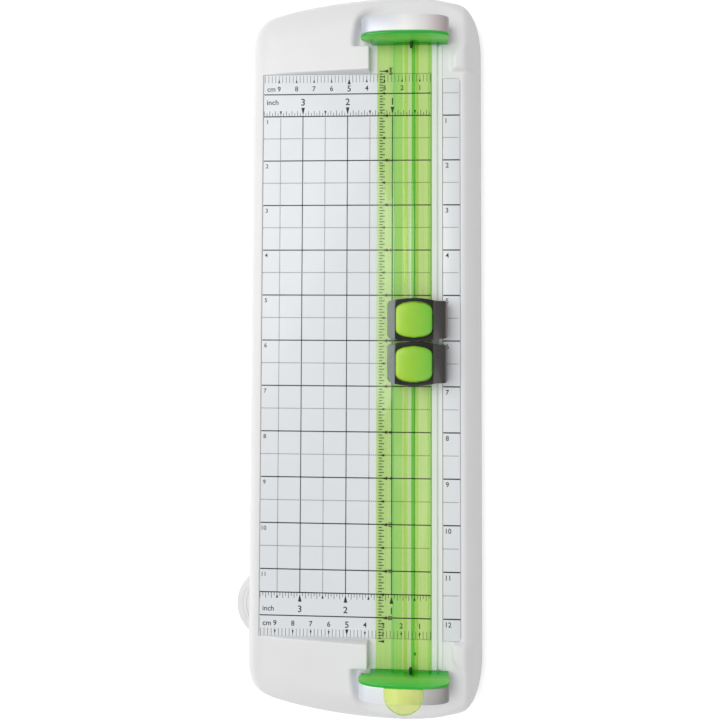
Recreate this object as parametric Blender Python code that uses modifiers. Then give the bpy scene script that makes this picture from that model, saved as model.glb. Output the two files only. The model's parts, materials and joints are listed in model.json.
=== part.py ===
"""Rotary paper trimmer: a hollow base with a bed, a hinged clear rail and two carriages with rolling wheels.

Units: every constant is in millimetres, and the helper functions multiply by MM to give Blender's metres.
Frame: origin on the table under the middle, +X to the right of the bed, +Y towards the hinge, +Z up.
"""

from math import atan2, cos, degrees, pi, radians, sin

import bmesh
import bpy
from mathutils import Matrix, Vector

MM = 0.001
GAP = 0.3  # clearance kept between neighbouring solids
OVER = 2.0  # how far a cutter runs past the faces it cuts
SHARP_ANGLE = radians(35)  # edges that bend more than this are shaded sharp

# base
BASE_LEFT = -61.25
BASE_RIGHT = 69.45
BASE_HALF_LENGTH = 202.9
BASE_BOTTOM = 2.0
BED_Z = 14.0
DECK_UNDERSIDE = 10.2
WALL = 2.4
EDGE_ROUND = 4.0
SLOPE_START = 58.75
SLOPE_EDGE_Z = 7.0
FENCE_Y = 157.6
CORNER_START = 172.0  # where the straight left side meets the corner's curve
CORNER_END = (-46.5, 193.6)
END_MIDDLE = (25.0, BASE_HALF_LENGTH)
BEAM_X = (38.4, 49.2)  # the box beam under the strip's channel
CROSS_RIB_PLACES = (-120.0, -60.0, 0.0, 60.0, 120.0)
CROSS_RIB_LEFT = -59.9
CROSS_RIB_BOTTOM = 6.6
LONG_RIB_X = (-29.0, -27.0)
RIB_RIGHT = 61.5
RIB_TOP = 11.0
HOOD_SEAT_X = (0.0, 50.6)
HOOD_SEAT_Y = (173.1, 186.0)
CUT_X = 44.15  # the line that the wheels roll along

# bed plate, cutting strip and side scale plate, left to right
BED_LEFT = -54.85
BED_RIGHT = 40.65
STRIP_RIGHT = 46.95
SIDE_PLATE_RIGHT = 56.95
PLATE_THICKNESS = 1.1
POCKET_FLOOR = BED_Z - PLATE_THICKNESS - GAP
STRIP_DEPTH = 3.1
STRIP_HALF_LENGTH = 173.0
GROOVE_WIDTH = 1.0
GROOVE_DEPTH = 1.4
SIDE_PLATE_FRONT = -157.9
SIDE_PLATE_REAR = 154.1

# raised blocks at both ends
BLOCK_LEFT = -55.5
BLOCK_RIGHT = 6.15
BLOCK_REAR = 172.3
BLOCK_LOW_RISE = 0.3
BLOCK_RISE = 5.2
BLOCK_ROUND = 0.9
BLOCK_BACK = [(19.0, 195.0), (-6.0, 195.0), (-30.0, 190.6), (-46.0, 186.6), (-53.5, 178.0)]
HOOD_POCKET = ((-4.7, BLOCK_REAR), (-3.6, 182.0), (3.5, 192.5), (19.0, 195.0))
RIGHT_BLOCK_LEFT = 51.15
RIGHT_BLOCK_TOP = 16.6
RIGHT_BLOCK_BACK = [(61.5, 176.0), (58.5, 184.0), (RIGHT_BLOCK_LEFT, 189.0)]

# feet
FOOT_RADIUS = 6.0
FOOT_HEIGHT = 2.6
FOOT_PLACES = {
    "foot_rear_left": (-44.0, 181.0),
    "foot_rear_right": (54.0, 179.0),
    "foot_front_left": (-44.0, -181.0),
    "foot_front_right": (54.0, -179.0),
}

# rail
RAIL_LEFT = 10.15
RAIL_STEP = 18.85
RAIL_RIGHT = 40.25
RAIL_HALF_LENGTH = 173.2
RAIL_BOTTOM = BED_Z + 0.4
FLANGE_TOP = BED_Z + 2.2
DECK_TOP = BED_Z + 4.0
RAIL_WALL = 1.6
TRACK_LEFT = 25.25
TRACK_RIGHT = 33.05
TRACK_TOP = BED_Z + 6.7
TRACK_LIP = 1.1
LIP_DRAFT = 0.1
NECK_LEFT = 27.2
NECK_RIGHT = 31.1
SLOT_LEFT = 26.15
SLOT_RIGHT = 29.35
SLOT_DEPTH = 0.6
STOP_X = 31.3
STOP_Y = -161.4

# end plates and hoods
ARCH_X = 25.35
PLATE_HALF_WIDTH = 24.4
PLATE_SIDE_Z = BED_Z + 8.6
PLATE_CROWN_Z = BED_Z + 15.3
PLATE_FACE_Y = 173.5
PLATE_DEPTH = 1.6
PLATE_STEP_X = 7.2
PLATE_STEP_Z = BED_Z + 4.8
HOOD_HALF_WIDTH = 24.2
HOOD_SIDE_Z = BED_Z + 8.2
HOOD_CROWN_Z = BED_Z + 13.6
HOOD_FACE_Y = 175.8
HOOD_END_Y = 184.5
HOOD_WALL = 1.2
REAR_HOOD_FACE_Y = 175.4
REAR_HOOD_CROWN_Z = BED_Z + 14.7
ARCH_POWER = 2.6
ARCH_POINTS = 20
TAB_X = 24.95
TAB_RADIUS = 10.4
TAB_TIP_Y = 188.8
TAB_BOTTOM = BED_Z + 13.9
TAB_THICKNESS = 1.4

# hinge
PIN_Y = 178.8
PIN_Z = 24.0
PIN_RADIUS = 1.2
PIN_BORE = 1.45
EAR_RADIUS = 2.0
EAR_WIDTH = 4.0
EAR_OFFSET = 9.0
LUG_OFFSET = 13.5
LUG_WIDTH = 3.0
LUG_RADIUS = 2.2

# small screws
SCREW_RADIUS = 1.2
SCREW_BORE = 1.5
HOOD_SCREW_X = (7.6, 43.1)
HOOD_SCREW_Y = 180.6
HOOD_POST_RADIUS = 2.9
RAIL_SCREW_RADIUS = 0.9
RAIL_SCREW_BORE = 1.2
RAIL_SCREW_DEPTH = 3.8
RAIL_SCREW_X = 29.15
RAIL_SCREW_Z = BED_Z + 4.25

# carriages
CARRIAGES = {"scorer": 18.2, "cutter": -5.6}
CARRIAGE_LEFT = 16.0
CARRIAGE_RIGHT = 49.0
CARRIAGE_SIDE = 9.0
CARRIAGE_BULGE = 2.7
CARRIAGE_WALL = 1.3
CARRIAGE_TOP = BED_Z + 12.6
BUTTON_LEFT = 20.5
BUTTON_RIGHT = 40.3
BUTTON_SIDE = 7.7
BUTTON_BULGE = 2.15
BUTTON_RIM = BED_Z + 12.9
BUTTON_CROWN = 1.3
BUTTON_BOTTOM = BED_Z + 11.0
BUTTON_WALL = 1.2
SHOE_HALF_LENGTH = 8.7
WHEEL_RADIUS = 3.8
WHEEL_BORE = 1.05
WHEEL_LIFT = 1.0
WHEEL_Z = BED_Z + WHEEL_LIFT + WHEEL_RADIUS
WHEEL_THICKNESS = {"scorer": 0.6, "cutter": 0.4}
WHEEL_EDGE = {"scorer": 0.3, "cutter": 0.06}
AXLE_RADIUS = 0.8
AXLE_HALF_LENGTH = 1.9
CHEEK_INNER = 0.75
CHEEK_OUTER = 1.6
HOLDER_HALF_WIDTH = 2.6
HOLDER_TOP = BED_Z + 10.2
HOLDER_LEFT = 35.6
SPRING_RADIUS = 2.2
SPRING_WIRE = 0.2
SPRING_TURNS = 3.5

# swing-out ruler arm
ARM_BOTTOM = 2.3
ARM_THICKNESS = 2.6
ARM_PIVOT = (-46.0, 144.0)
ARM_HALF_WIDTH = 12.6
ARM_FRONT = -163.0
ARM_TAB_CENTRE = (-49.2, -144.0)
ARM_TAB_RADIUS = 20.2
ARM_SLOT_TOP = 5.4
ARM_SLOT_FRONT = -166.0
ARM_SLOT_REAR = 161.0
ARM_SCREW_BORE = 2.3
ARM_SCREW_RADIUS = 2.0
ARM_SCREW_HEAD = 4.6

WHITE = (0.86, 0.86, 0.87, 1.0)
BED_WHITE = (0.80, 0.83, 0.86, 1.0)
STRIP_WHITE = (0.72, 0.75, 0.73, 1.0)
CLEAR_GREEN = (0.38, 0.68, 0.16, 1.0)
DEEP_GREEN = (0.03, 0.50, 0.06, 1.0)
BUTTON_GREEN = (0.30, 0.62, 0.05, 1.0)
CHARCOAL = (0.045, 0.042, 0.040, 1.0)
SILVER = (0.70, 0.70, 0.72, 1.0)
STEEL = (0.62, 0.62, 0.63, 1.0)
RUBBER = (0.05, 0.05, 0.05, 1.0)


# ---------------------------------------------------------------- helpers

def clear_scene():
    for thing in list(bpy.data.objects):
        bpy.data.objects.remove(thing, do_unlink=True)


def new_collection(name):
    collection = bpy.data.collections.new(name)
    bpy.context.scene.collection.children.link(collection)
    return collection


def make_material(name, colour, roughness, metallic=0.0):
    material = bpy.data.materials.new(name)
    material.use_nodes = True
    shader = material.node_tree.nodes["Principled BSDF"]
    shader.inputs["Base Color"].default_value = colour
    shader.inputs["Roughness"].default_value = roughness
    shader.inputs["Metallic"].default_value = metallic
    return material


def link_mesh(name, bm, collection=None):
    mesh = bpy.data.meshes.new(name)
    bm.to_mesh(mesh)
    bm.free()
    thing = bpy.data.objects.new(name, mesh)
    (collection or PARTS).objects.link(thing)
    return thing


def box(name, low, high, collection=None):
    size = [(b - a) * MM for a, b in zip(low, high)]
    centre = [(a + b) / 2 * MM for a, b in zip(low, high)]
    bm = bmesh.new()
    bmesh.ops.create_cube(bm, size=1.0)
    bmesh.ops.scale(bm, vec=size, verts=bm.verts)
    bmesh.ops.translate(bm, vec=centre, verts=bm.verts)
    return link_mesh(name, bm, collection)


AXIS_TURN = {
    "Z": Matrix.Identity(4),
    "X": Matrix.Rotation(radians(90), 4, "Y"),
    "Y": Matrix.Rotation(radians(-90), 4, "X"),
}


def rod(name, centre, radius, length, axis="Z", segments=24, collection=None):
    """A straight round bar, centred on a point."""
    bm = bmesh.new()
    bmesh.ops.create_cone(
        bm, cap_ends=True, segments=segments, radius1=radius * MM, radius2=radius * MM, depth=length * MM
    )
    place = Matrix.Translation(Vector(centre) * MM) @ AXIS_TURN[axis]
    bmesh.ops.transform(bm, matrix=place, verts=bm.verts)
    return link_mesh(name, bm, collection)


PLANE_TURN = {
    "XY": Matrix.Identity(4),
    "XZ": Matrix(((1, 0, 0, 0), (0, 0, -1, 0), (0, 1, 0, 0), (0, 0, 0, 1))),
    "YZ": Matrix(((0, 0, 1, 0), (1, 0, 0, 0), (0, 1, 0, 0), (0, 0, 0, 1))),
}


def extruded(name, points, start, end, plane="XY", collection=None):
    """A flat outline drawn in a plane and extruded along the plane's normal, as a welded mesh."""
    curve = bpy.data.curves.new(name, "CURVE")
    curve.dimensions = "2D"
    curve.fill_mode = "BOTH"
    curve.extrude = abs(end - start) / 2 * MM
    spline = curve.splines.new("POLY")
    spline.points.add(len(points) - 1)
    for point, (a, b) in zip(spline.points, points):
        point.co = (a * MM, b * MM, 0.0, 1.0)
    spline.use_cyclic_u = True
    outline = bpy.data.objects.new(name, curve)
    middle = (start + end) / 2 * MM
    offset = {"XY": (0, 0, middle), "XZ": (0, middle, 0), "YZ": (middle, 0, 0)}[plane]
    outline.matrix_world = Matrix.Translation(offset) @ PLANE_TURN[plane]
    bpy.context.scene.collection.objects.link(outline)
    bpy.context.view_layer.update()
    evaluated = outline.evaluated_get(bpy.context.evaluated_depsgraph_get())
    mesh = bpy.data.meshes.new_from_object(evaluated)
    bm = bmesh.new()
    bm.from_mesh(mesh)
    bmesh.ops.remove_doubles(bm, verts=bm.verts, dist=0.000002)
    bmesh.ops.dissolve_limit(bm, angle_limit=radians(0.1), verts=bm.verts, edges=bm.edges)
    bmesh.ops.transform(bm, matrix=outline.matrix_world, verts=bm.verts)
    bpy.data.objects.remove(outline)
    bpy.data.meshes.remove(mesh)
    return link_mesh(name, bm, collection)


def turned(name, profile, centre, axis="Z", steps=24, ring=False):
    """A turned solid: the profile's (radius, height) points run down its outer side, from axis to axis.

    A ring's profile is a closed loop that stays clear of the axis."""
    mesh = bpy.data.meshes.new(name)
    vertices = [(radius * MM, 0.0, height * MM) for radius, height in profile]
    edges = [(i, i + 1) for i in range(len(vertices) - 1)]
    if ring:
        edges.append((len(vertices) - 1, 0))
    mesh.from_pydata(vertices, edges, [])
    thing = bpy.data.objects.new(name, mesh)
    PARTS.objects.link(thing)
    thing.matrix_world = Matrix.Translation(Vector(centre) * MM) @ AXIS_TURN[axis]
    spin = thing.modifiers.new("turn", "SCREW")
    spin.steps = steps
    spin.render_steps = steps
    spin.use_merge_vertices = True
    spin.merge_threshold = 0.00001
    return thing


def join(target, tool, operation="DIFFERENCE"):
    """A Boolean with a tool object, which is kept as a hidden cutter."""
    change = target.modifiers.new(tool.name, "BOOLEAN")
    change.object = tool
    change.operation = operation
    change.solver = "EXACT"
    for collection in list(tool.users_collection):
        collection.objects.unlink(tool)
    CUTTERS.objects.link(tool)
    tool.hide_render = True
    tool.display_type = "WIRE"
    return target


def soften(thing, width, segments=2, angle=35):
    bevel = thing.modifiers.new("soft edges", "BEVEL")
    bevel.width = width * MM
    bevel.segments = segments
    bevel.limit_method = "ANGLE"
    bevel.angle_limit = radians(angle)
    bevel.harden_normals = False
    return thing


def shading_group():
    """A node group that shades a mesh smooth, apart from the edges that bend more than SHARP_ANGLE."""
    group = bpy.data.node_groups.new("round_shading", "GeometryNodeTree")
    group.interface.new_socket("Geometry", in_out="INPUT", socket_type="NodeSocketGeometry")
    group.interface.new_socket("Geometry", in_out="OUTPUT", socket_type="NodeSocketGeometry")
    start = group.nodes.new("NodeGroupInput")
    end = group.nodes.new("NodeGroupOutput")
    faces = group.nodes.new("GeometryNodeSetShadeSmooth")
    faces.domain = "FACE"
    edges = group.nodes.new("GeometryNodeSetShadeSmooth")
    edges.domain = "EDGE"
    bend = group.nodes.new("GeometryNodeInputMeshEdgeAngle")
    gentle = group.nodes.new("FunctionNodeCompare")
    gentle.operation = "LESS_THAN"
    gentle.inputs[1].default_value = SHARP_ANGLE
    group.links.new(bend.outputs["Unsigned Angle"], gentle.inputs[0])
    group.links.new(gentle.outputs[0], edges.inputs["Shade Smooth"])
    group.links.new(start.outputs[0], faces.inputs["Geometry"])
    group.links.new(faces.outputs[0], edges.inputs["Geometry"])
    group.links.new(edges.outputs[0], end.inputs[0])
    return group


def round_shading(thing):
    shading = thing.modifiers.new("round shading", "NODES")
    shading.node_group = SHADING
    return thing


def finish(thing, surface, parent=None):
    thing.data.materials.clear()
    thing.data.materials.append(surface)
    if parent is not None:
        thing.parent = parent
        thing.matrix_parent_inverse = parent.matrix_world.inverted()
    return thing


def pivot(name, place, parent=None):
    """An empty on a joint's axis."""
    empty = bpy.data.objects.new(name, None)
    PARTS.objects.link(empty)
    empty.empty_display_size = 0.01
    empty.matrix_world = Matrix.Translation(Vector(place) * MM)
    bpy.context.view_layer.update()
    if parent is not None:
        empty.parent = parent
        empty.matrix_parent_inverse = parent.matrix_world.inverted()
    bpy.context.view_layer.update()
    return empty


def bezier(start, control_1, control_2, end, count):
    """Points along a cubic curve, without its last point."""
    points = []
    for i in range(count):
        t = i / count
        s = 1 - t
        weights = (s * s * s, 3 * s * s * t, 3 * s * t * t, t * t * t)
        corners = (start, control_1, control_2, end)
        points.append(tuple(sum(w * c[k] for w, c in zip(weights, corners)) for k in (0, 1)))
    return points


def arc(centre, radius, start, end, count):
    """Points on a circle, angles in degrees, both ends included."""
    angles = [radians(start + (end - start) * i / (count - 1)) for i in range(count)]
    return [(centre[0] + radius * cos(a), centre[1] + radius * sin(a)) for a in angles]


# ---------------------------------------------------------------- base

def base_outline(inset=0.0):
    """The base's plan: straight long sides, a tight left corner, a long curve and a round right corner."""
    rear = [(BASE_RIGHT, 0.0)]
    rear += bezier((BASE_RIGHT, 168.0), (BASE_RIGHT, 199.0), (52.0, 202.6), END_MIDDLE, 10)
    rear += bezier(END_MIDDLE, (-5.0, 202.6), (-30.0, 198.3), CORNER_END, 7)
    rear += bezier(CORNER_END, (-57.5, 190.5), (BASE_LEFT, 184.0), (BASE_LEFT, CORNER_START), 6)
    rear.append((BASE_LEFT, CORNER_START))
    front = [(x, -y) for x, y in reversed(rear[1:])]
    centre_x = (BASE_LEFT + BASE_RIGHT) / 2
    half_width = (BASE_RIGHT - BASE_LEFT) / 2
    scale_x = (half_width - inset) / half_width
    scale_y = (BASE_HALF_LENGTH - inset) / BASE_HALF_LENGTH
    return [(centre_x + (x - centre_x) * scale_x, y * scale_y) for x, y in rear + front]


def left_block_outline(side):
    points = [(BLOCK_LEFT, FENCE_Y), (BLOCK_RIGHT, FENCE_Y), (BLOCK_RIGHT, BLOCK_REAR)]
    points += bezier(*HOOD_POCKET, 6) + BLOCK_BACK
    points = [(x, side * y) for x, y in points]
    return points if side > 0 else points[::-1]


def left_block(side):
    """A block beside the rail's end whose top rises towards the rail."""
    outline = left_block_outline(side)
    block = extruded(f"left_block_{side}", outline, BED_Z - OVER, BED_Z + OVER, collection=CUTTERS)
    for vertex in block.data.vertices:
        if vertex.co.z > BED_Z * MM:
            share = (vertex.co.x / MM - BLOCK_LEFT) / (BLOCK_RIGHT - BLOCK_LEFT)
            vertex.co.z = (BED_Z + BLOCK_LOW_RISE + BLOCK_RISE * min(share, 1.0)) * MM
    return soften(block, BLOCK_ROUND, 2, 50)


def right_block(side):
    points = [(RIGHT_BLOCK_LEFT, FENCE_Y), (RIGHT_BLOCK_BACK[0][0], FENCE_Y)] + RIGHT_BLOCK_BACK
    points = [(x, side * y) for x, y in points]
    if side < 0:
        points = points[::-1]
    block = extruded(f"right_block_{side}", points, BED_Z - OVER, RIGHT_BLOCK_TOP, collection=CUTTERS)
    return soften(block, BLOCK_ROUND, 2, 50)


def base_body():
    body = extruded("base_body", base_outline(), BASE_BOTTOM, BED_Z)
    soften(body, EDGE_ROUND, 3)
    hollow = extruded("base_hollow", base_outline(WALL), BASE_BOTTOM - OVER, DECK_UNDERSIDE)
    join(hollow, slope_cutter("hollow_slope", WALL + 0.8))
    join(body, hollow)
    join(body, slope_cutter("side_slope", 0.0))
    for number, rib in enumerate(base_ribs()):
        join(body, box(f"base_rib_{number}", *rib), "UNION")
    for name, (x, y) in FOOT_PLACES.items():
        boss = rod(f"{name}_boss", (x, y, 7.0), FOOT_RADIUS + 1.4, 8.2 - 2 * GAP)
        join(body, boss, "UNION")
    boss = rod("arm_boss", (*ARM_PIVOT, 8.6), 6.0, 5.8)
    join(body, boss, "UNION")
    for side in (1, -1):
        join(body, left_block(side), "UNION")
        join(body, right_block(side), "UNION")
    cut_base(body)
    add_hinge_lugs(body)
    return finish(body, material["white_abs"])


def add_hinge_lugs(body):
    """Two lugs in the rear hood's seat that hold the hinge pin."""
    foot = BED_Z - 1.0
    outline = [(PIN_Y - LUG_RADIUS, foot), (PIN_Y + LUG_RADIUS, foot)]
    outline += arc((PIN_Y, PIN_Z), LUG_RADIUS, 0, 180, 13)
    for offset in (-LUG_OFFSET, LUG_OFFSET):
        start = ARCH_X + offset - LUG_WIDTH / 2
        join(body, extruded(f"hinge_lug_{offset}", outline, start, start + LUG_WIDTH, "YZ"), "UNION")
    join(body, rod("hinge_bore", (ARCH_X, PIN_Y, PIN_Z), PIN_BORE, 36, "X", segments=16))


def slope_cutter(name, lowered):
    """A wedge over the right edge, whose underside is the slope of the base's right side."""
    outside = BASE_RIGHT + 2 * OVER
    above = BED_Z + 2 * OVER
    edge_z = SLOPE_EDGE_Z - lowered
    points = [(BASE_RIGHT, edge_z), (outside, edge_z - 3.0), (outside, above)]
    points += [(SLOPE_START, above), (SLOPE_START, BED_Z - lowered)]
    return extruded(name, points, -BASE_HALF_LENGTH - OVER, BASE_HALF_LENGTH + OVER, "XZ")


def base_ribs():
    """Ribs under the deck: a box beam under the strip's channel, and cross ribs clear of the swinging arm."""
    ribs = [((BEAM_X[0], -176.0, 8.2), (BEAM_X[1], 176.0, RIB_TOP))]
    for y in CROSS_RIB_PLACES:
        ribs.append(((CROSS_RIB_LEFT, y - 1.0, CROSS_RIB_BOTTOM), (RIB_RIGHT, y + 1.0, RIB_TOP)))
    ribs.append(((LONG_RIB_X[0], -199.0, 5.0), (LONG_RIB_X[1], 197.0, RIB_TOP)))
    return ribs


def cut_base(body):
    """Pockets for the bed's plates, the arm's slot, and the screw and foot holes."""
    above = BED_Z + 9.0
    join(body, box("bed_pocket", (BED_LEFT, -FENCE_Y, POCKET_FLOOR), (BED_RIGHT + 1, FENCE_Y, above)))
    channel_floor = BED_Z - STRIP_DEPTH - GAP
    channel_half = STRIP_HALF_LENGTH + GAP
    join(body, box("channel", (BED_RIGHT, -channel_half, channel_floor), (STRIP_RIGHT, channel_half, above)))
    low = (STRIP_RIGHT - 1, SIDE_PLATE_FRONT - GAP, POCKET_FLOOR)
    high = (SIDE_PLATE_RIGHT, SIDE_PLATE_REAR + GAP, BED_Z + 1)
    join(body, box("side_pocket", low, high))
    join(body, box("arm_slot", (-63.0, ARM_SLOT_FRONT, 0.0), (-30.2, ARM_SLOT_REAR, ARM_SLOT_TOP)))
    join(body, rod("arm_screw_hole", (*ARM_PIVOT, 7.0), ARM_SCREW_RADIUS + GAP, 6.4))
    for name, (x, y) in FOOT_PLACES.items():
        join(body, rod(f"{name}_recess", (x, y, 1.4), FOOT_RADIUS + GAP, 3.0 + GAP))
    for x in HOOD_SCREW_X:
        centre = (x, -HOOD_SCREW_Y, DECK_UNDERSIDE + OVER)
        join(body, rod(f"hood_hole_{x}", centre, SCREW_BORE, 6.0, segments=16))
    for side in (1, -1):
        near, far = sorted(side * y for y in HOOD_SEAT_Y)
        low = (HOOD_SEAT_X[0], near, BED_Z)
        join(body, box(f"hood_seat_{side}", low, (HOOD_SEAT_X[1], far, above)))


def bed_plate():
    low = (BED_LEFT + GAP, -FENCE_Y + GAP, BED_Z - PLATE_THICKNESS)
    high = (BED_RIGHT - GAP / 2, FENCE_Y - GAP, BED_Z)
    return finish(soften(box("bed_plate", low, high), 0.2, 1), material["bed_print"])


def side_scale_plate():
    low = (STRIP_RIGHT + GAP / 2, SIDE_PLATE_FRONT, BED_Z - PLATE_THICKNESS)
    high = (SIDE_PLATE_RIGHT - GAP, SIDE_PLATE_REAR, BED_Z)
    return finish(soften(box("side_scale_plate", low, high), 0.2, 1), material["bed_print"])


def cutting_strip():
    left = BED_RIGHT + GAP / 2
    right = STRIP_RIGHT - GAP / 2
    bottom = BED_Z - STRIP_DEPTH
    groove_left = CUT_X - GROOVE_WIDTH / 2
    groove_right = CUT_X + GROOVE_WIDTH / 2
    groove_floor = BED_Z - GROOVE_DEPTH
    section = [(left, bottom), (right, bottom), (right, BED_Z), (groove_right, BED_Z)]
    section += [(groove_right, groove_floor), (groove_left, groove_floor)]
    section += [(groove_left, BED_Z), (left, BED_Z)]
    strip = extruded("cutting_strip", section, -STRIP_HALF_LENGTH, STRIP_HALF_LENGTH, "XZ")
    return finish(strip, material["strip_plastic"])


def feet():
    chamfer = 0.6
    profile = [(0.0, FOOT_HEIGHT), (FOOT_RADIUS, FOOT_HEIGHT), (FOOT_RADIUS, chamfer)]
    profile += [(FOOT_RADIUS - chamfer, 0.0), (0.0, 0.0)]
    for name, (x, y) in FOOT_PLACES.items():
        finish(turned(name, profile, (x, y, 0.0)), material["rubber"])


# ---------------------------------------------------------------- hoods and hinge

def arch(half_width, side_z, crown_z, bottom):
    """A flat-bottomed arch in the XZ plane, anticlockwise from its bottom left corner."""
    points = [(ARCH_X - half_width, bottom), (ARCH_X + half_width, bottom)]
    for i in range(ARCH_POINTS + 1):
        angle = pi * i / ARCH_POINTS
        across = abs(cos(angle)) ** (2 / ARCH_POWER)
        up = sin(angle) ** (2 / ARCH_POWER)
        reach = half_width * across if angle < pi / 2 else -half_width * across
        points.append((ARCH_X + reach, side_z + (crown_z - side_z) * up))
    return points


def hood_shell(name, near, far, crown_z):
    """An arched cover that is closed at its outer end."""
    inward = 1 if near < far else -1
    outer = arch(HOOD_HALF_WIDTH, HOOD_SIDE_Z, crown_z, BED_Z + GAP)
    shell = extruded(name, outer, near, far, "XZ")
    inner = arch(HOOD_HALF_WIDTH - HOOD_WALL, HOOD_SIDE_Z, crown_z - HOOD_WALL, BED_Z - 1)
    inside = extruded(f"{name}_inside", inner, near - inward * OVER, far - inward * HOOD_WALL, "XZ")
    return join(shell, inside)


def front_hood():
    """The fixed hood, with posts for the two screws that come up from the base."""
    shell = hood_shell("front_hood", -HOOD_FACE_Y, -HOOD_END_Y, HOOD_CROWN_Z)
    post_top = BED_Z + 7.6
    post_low = BED_Z + GAP
    for x in HOOD_SCREW_X:
        centre = (x, -HOOD_SCREW_Y, (post_top + post_low) / 2)
        post = rod(f"hood_post_{x}", centre, HOOD_POST_RADIUS, post_top - post_low, segments=16)
        join(shell, post, "UNION")
    for x in HOOD_SCREW_X:
        centre = (x, -HOOD_SCREW_Y, BED_Z + 2.4)
        join(shell, rod(f"hood_screw_bore_{x}", centre, SCREW_BORE, 6.4, segments=16))
    return finish(round_shading(shell), material["silver"])


def rear_hood(parent):
    """The hood that turns with the rail, cut away beside the base's block, seat and lugs."""
    shell = hood_shell("rear_hood", REAR_HOOD_FACE_Y, HOOD_END_Y, REAR_HOOD_CROWN_Z)
    low, end = BED_Z - 1.0, HOOD_END_Y + 1.0
    beside_block = [(172.9, low), (181.0, low), (181.0, 14.7), (172.9, 19.1)]
    join(shell, extruded("hood_block_relief", beside_block, -1.0, PLATE_STEP_X, "YZ"))
    above_seat = [(179.2, low), (end, low), (end, 16.9), (181.4, 15.2), (179.2, 14.5)]
    join(shell, extruded("hood_seat_relief", above_seat, -1.0, 52.0, "YZ"))
    for offset in (-LUG_OFFSET, LUG_OFFSET):
        x = ARCH_X + offset
        half_width = LUG_WIDTH / 2 + 0.5
        slot = box(f"lug_slot_{offset}", (x - half_width, PIN_Y, low), (x + half_width, end, PIN_Z + 0.6))
        join(shell, slot)
    return finish(round_shading(shell), material["silver"], parent)


def hood_screws():
    """Screws from under the deck, up into the front hood's posts."""
    head = DECK_UNDERSIDE - GAP
    tip = BED_Z + 5.0
    profile = [(0.0, tip), (SCREW_RADIUS - 0.4, tip), (SCREW_RADIUS, tip - 0.6)]
    profile += [(SCREW_RADIUS, head), (2.4, head), (2.2, head - 1.5), (0.0, head - 1.5)]
    for number, x in enumerate(HOOD_SCREW_X, 1):
        screw = turned(f"hood_screw_{number}", profile, (x, -HOOD_SCREW_Y, 0.0), steps=14)
        finish(screw, material["steel"])


def hinge_pin():
    length = 2 * (LUG_OFFSET + LUG_WIDTH / 2) + 1.0
    pin = rod("hinge_pin", (ARCH_X, PIN_Y, PIN_Z), PIN_RADIUS, length, "X", segments=20)
    return finish(round_shading(pin), material["steel"])


# ---------------------------------------------------------------- rail and end plates

def rail_section():
    """The rail's section: a thin scale flange, a hollow deck and a T-shaped track with a slot in its top."""
    inner_top = DECK_TOP - RAIL_WALL
    lip_bottom = TRACK_TOP - TRACK_LIP
    slot_floor = TRACK_TOP - SLOT_DEPTH
    return [
        (RAIL_LEFT, RAIL_BOTTOM),
        (RAIL_STEP + 1.0, RAIL_BOTTOM),
        (RAIL_STEP + 1.0, inner_top),
        (RAIL_RIGHT - RAIL_WALL, inner_top),
        (RAIL_RIGHT - RAIL_WALL, RAIL_BOTTOM),
        (RAIL_RIGHT, RAIL_BOTTOM),
        (RAIL_RIGHT, DECK_TOP),
        (NECK_RIGHT, DECK_TOP),
        (NECK_RIGHT, lip_bottom),
        (TRACK_RIGHT, lip_bottom - LIP_DRAFT),
        (TRACK_RIGHT, TRACK_TOP),
        (SLOT_RIGHT, TRACK_TOP),
        (SLOT_RIGHT, slot_floor),
        (SLOT_LEFT, slot_floor),
        (SLOT_LEFT, TRACK_TOP),
        (TRACK_LEFT, TRACK_TOP),
        (TRACK_LEFT, lip_bottom - LIP_DRAFT),
        (NECK_LEFT, lip_bottom),
        (NECK_LEFT, DECK_TOP),
        (RAIL_STEP, DECK_TOP),
        (RAIL_STEP, FLANGE_TOP),
        (RAIL_LEFT, FLANGE_TOP),
    ]


def rail(parent):
    body = extruded("rail", rail_section(), -RAIL_HALF_LENGTH, RAIL_HALF_LENGTH, "XZ")
    low = (STOP_X - 0.9, STOP_Y - 0.5, TRACK_TOP - GAP)
    high = (STOP_X + 0.9, STOP_Y + 0.5, TRACK_TOP + 0.7)
    join(body, box("stop_nub", low, high), "UNION")
    for side in (1, -1):
        centre = (RAIL_SCREW_X, side * RAIL_HALF_LENGTH, RAIL_SCREW_Z)
        join(body, rod(f"rail_bore_{side}", centre, RAIL_SCREW_BORE, 2 * RAIL_SCREW_DEPTH, "Y", segments=12))
    return finish(body, material["clear_green"], parent)


def end_plate_solid(name, side):
    """The arched plate at a rail's end, with its lower left corner cut away to lift clear of the block."""
    near, far = side * PLATE_FACE_Y, side * (PLATE_FACE_Y + PLATE_DEPTH)
    points = arch(PLATE_HALF_WIDTH, PLATE_SIDE_Z, PLATE_CROWN_Z, RAIL_BOTTOM)
    left = ARCH_X - PLATE_HALF_WIDTH
    points[0:1] = [
        (left, PLATE_SIDE_Z - 1.2),
        (left + 2.6, PLATE_STEP_Z),
        (PLATE_STEP_X, PLATE_STEP_Z),
        (PLATE_STEP_X, RAIL_BOTTOM),
    ]
    plate = extruded(name, points, near, far, "XZ")
    centre = (RAIL_SCREW_X, side * (PLATE_FACE_Y + PLATE_DEPTH / 2), RAIL_SCREW_Z)
    join(plate, rod(f"{name}_hole", centre, RAIL_SCREW_BORE, 4.0, "Y", segments=12))
    return plate


def ear_outline():
    """An ear from the plate's outer face to the pin."""
    root_y = PLATE_FACE_Y + PLATE_DEPTH / 2
    around = arc((PIN_Y, PIN_Z), EAR_RADIUS, -60, 90, 9)
    return [(root_y, PIN_Z - 3.8)] + around + [(root_y, PIN_Z + EAR_RADIUS)]


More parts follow.
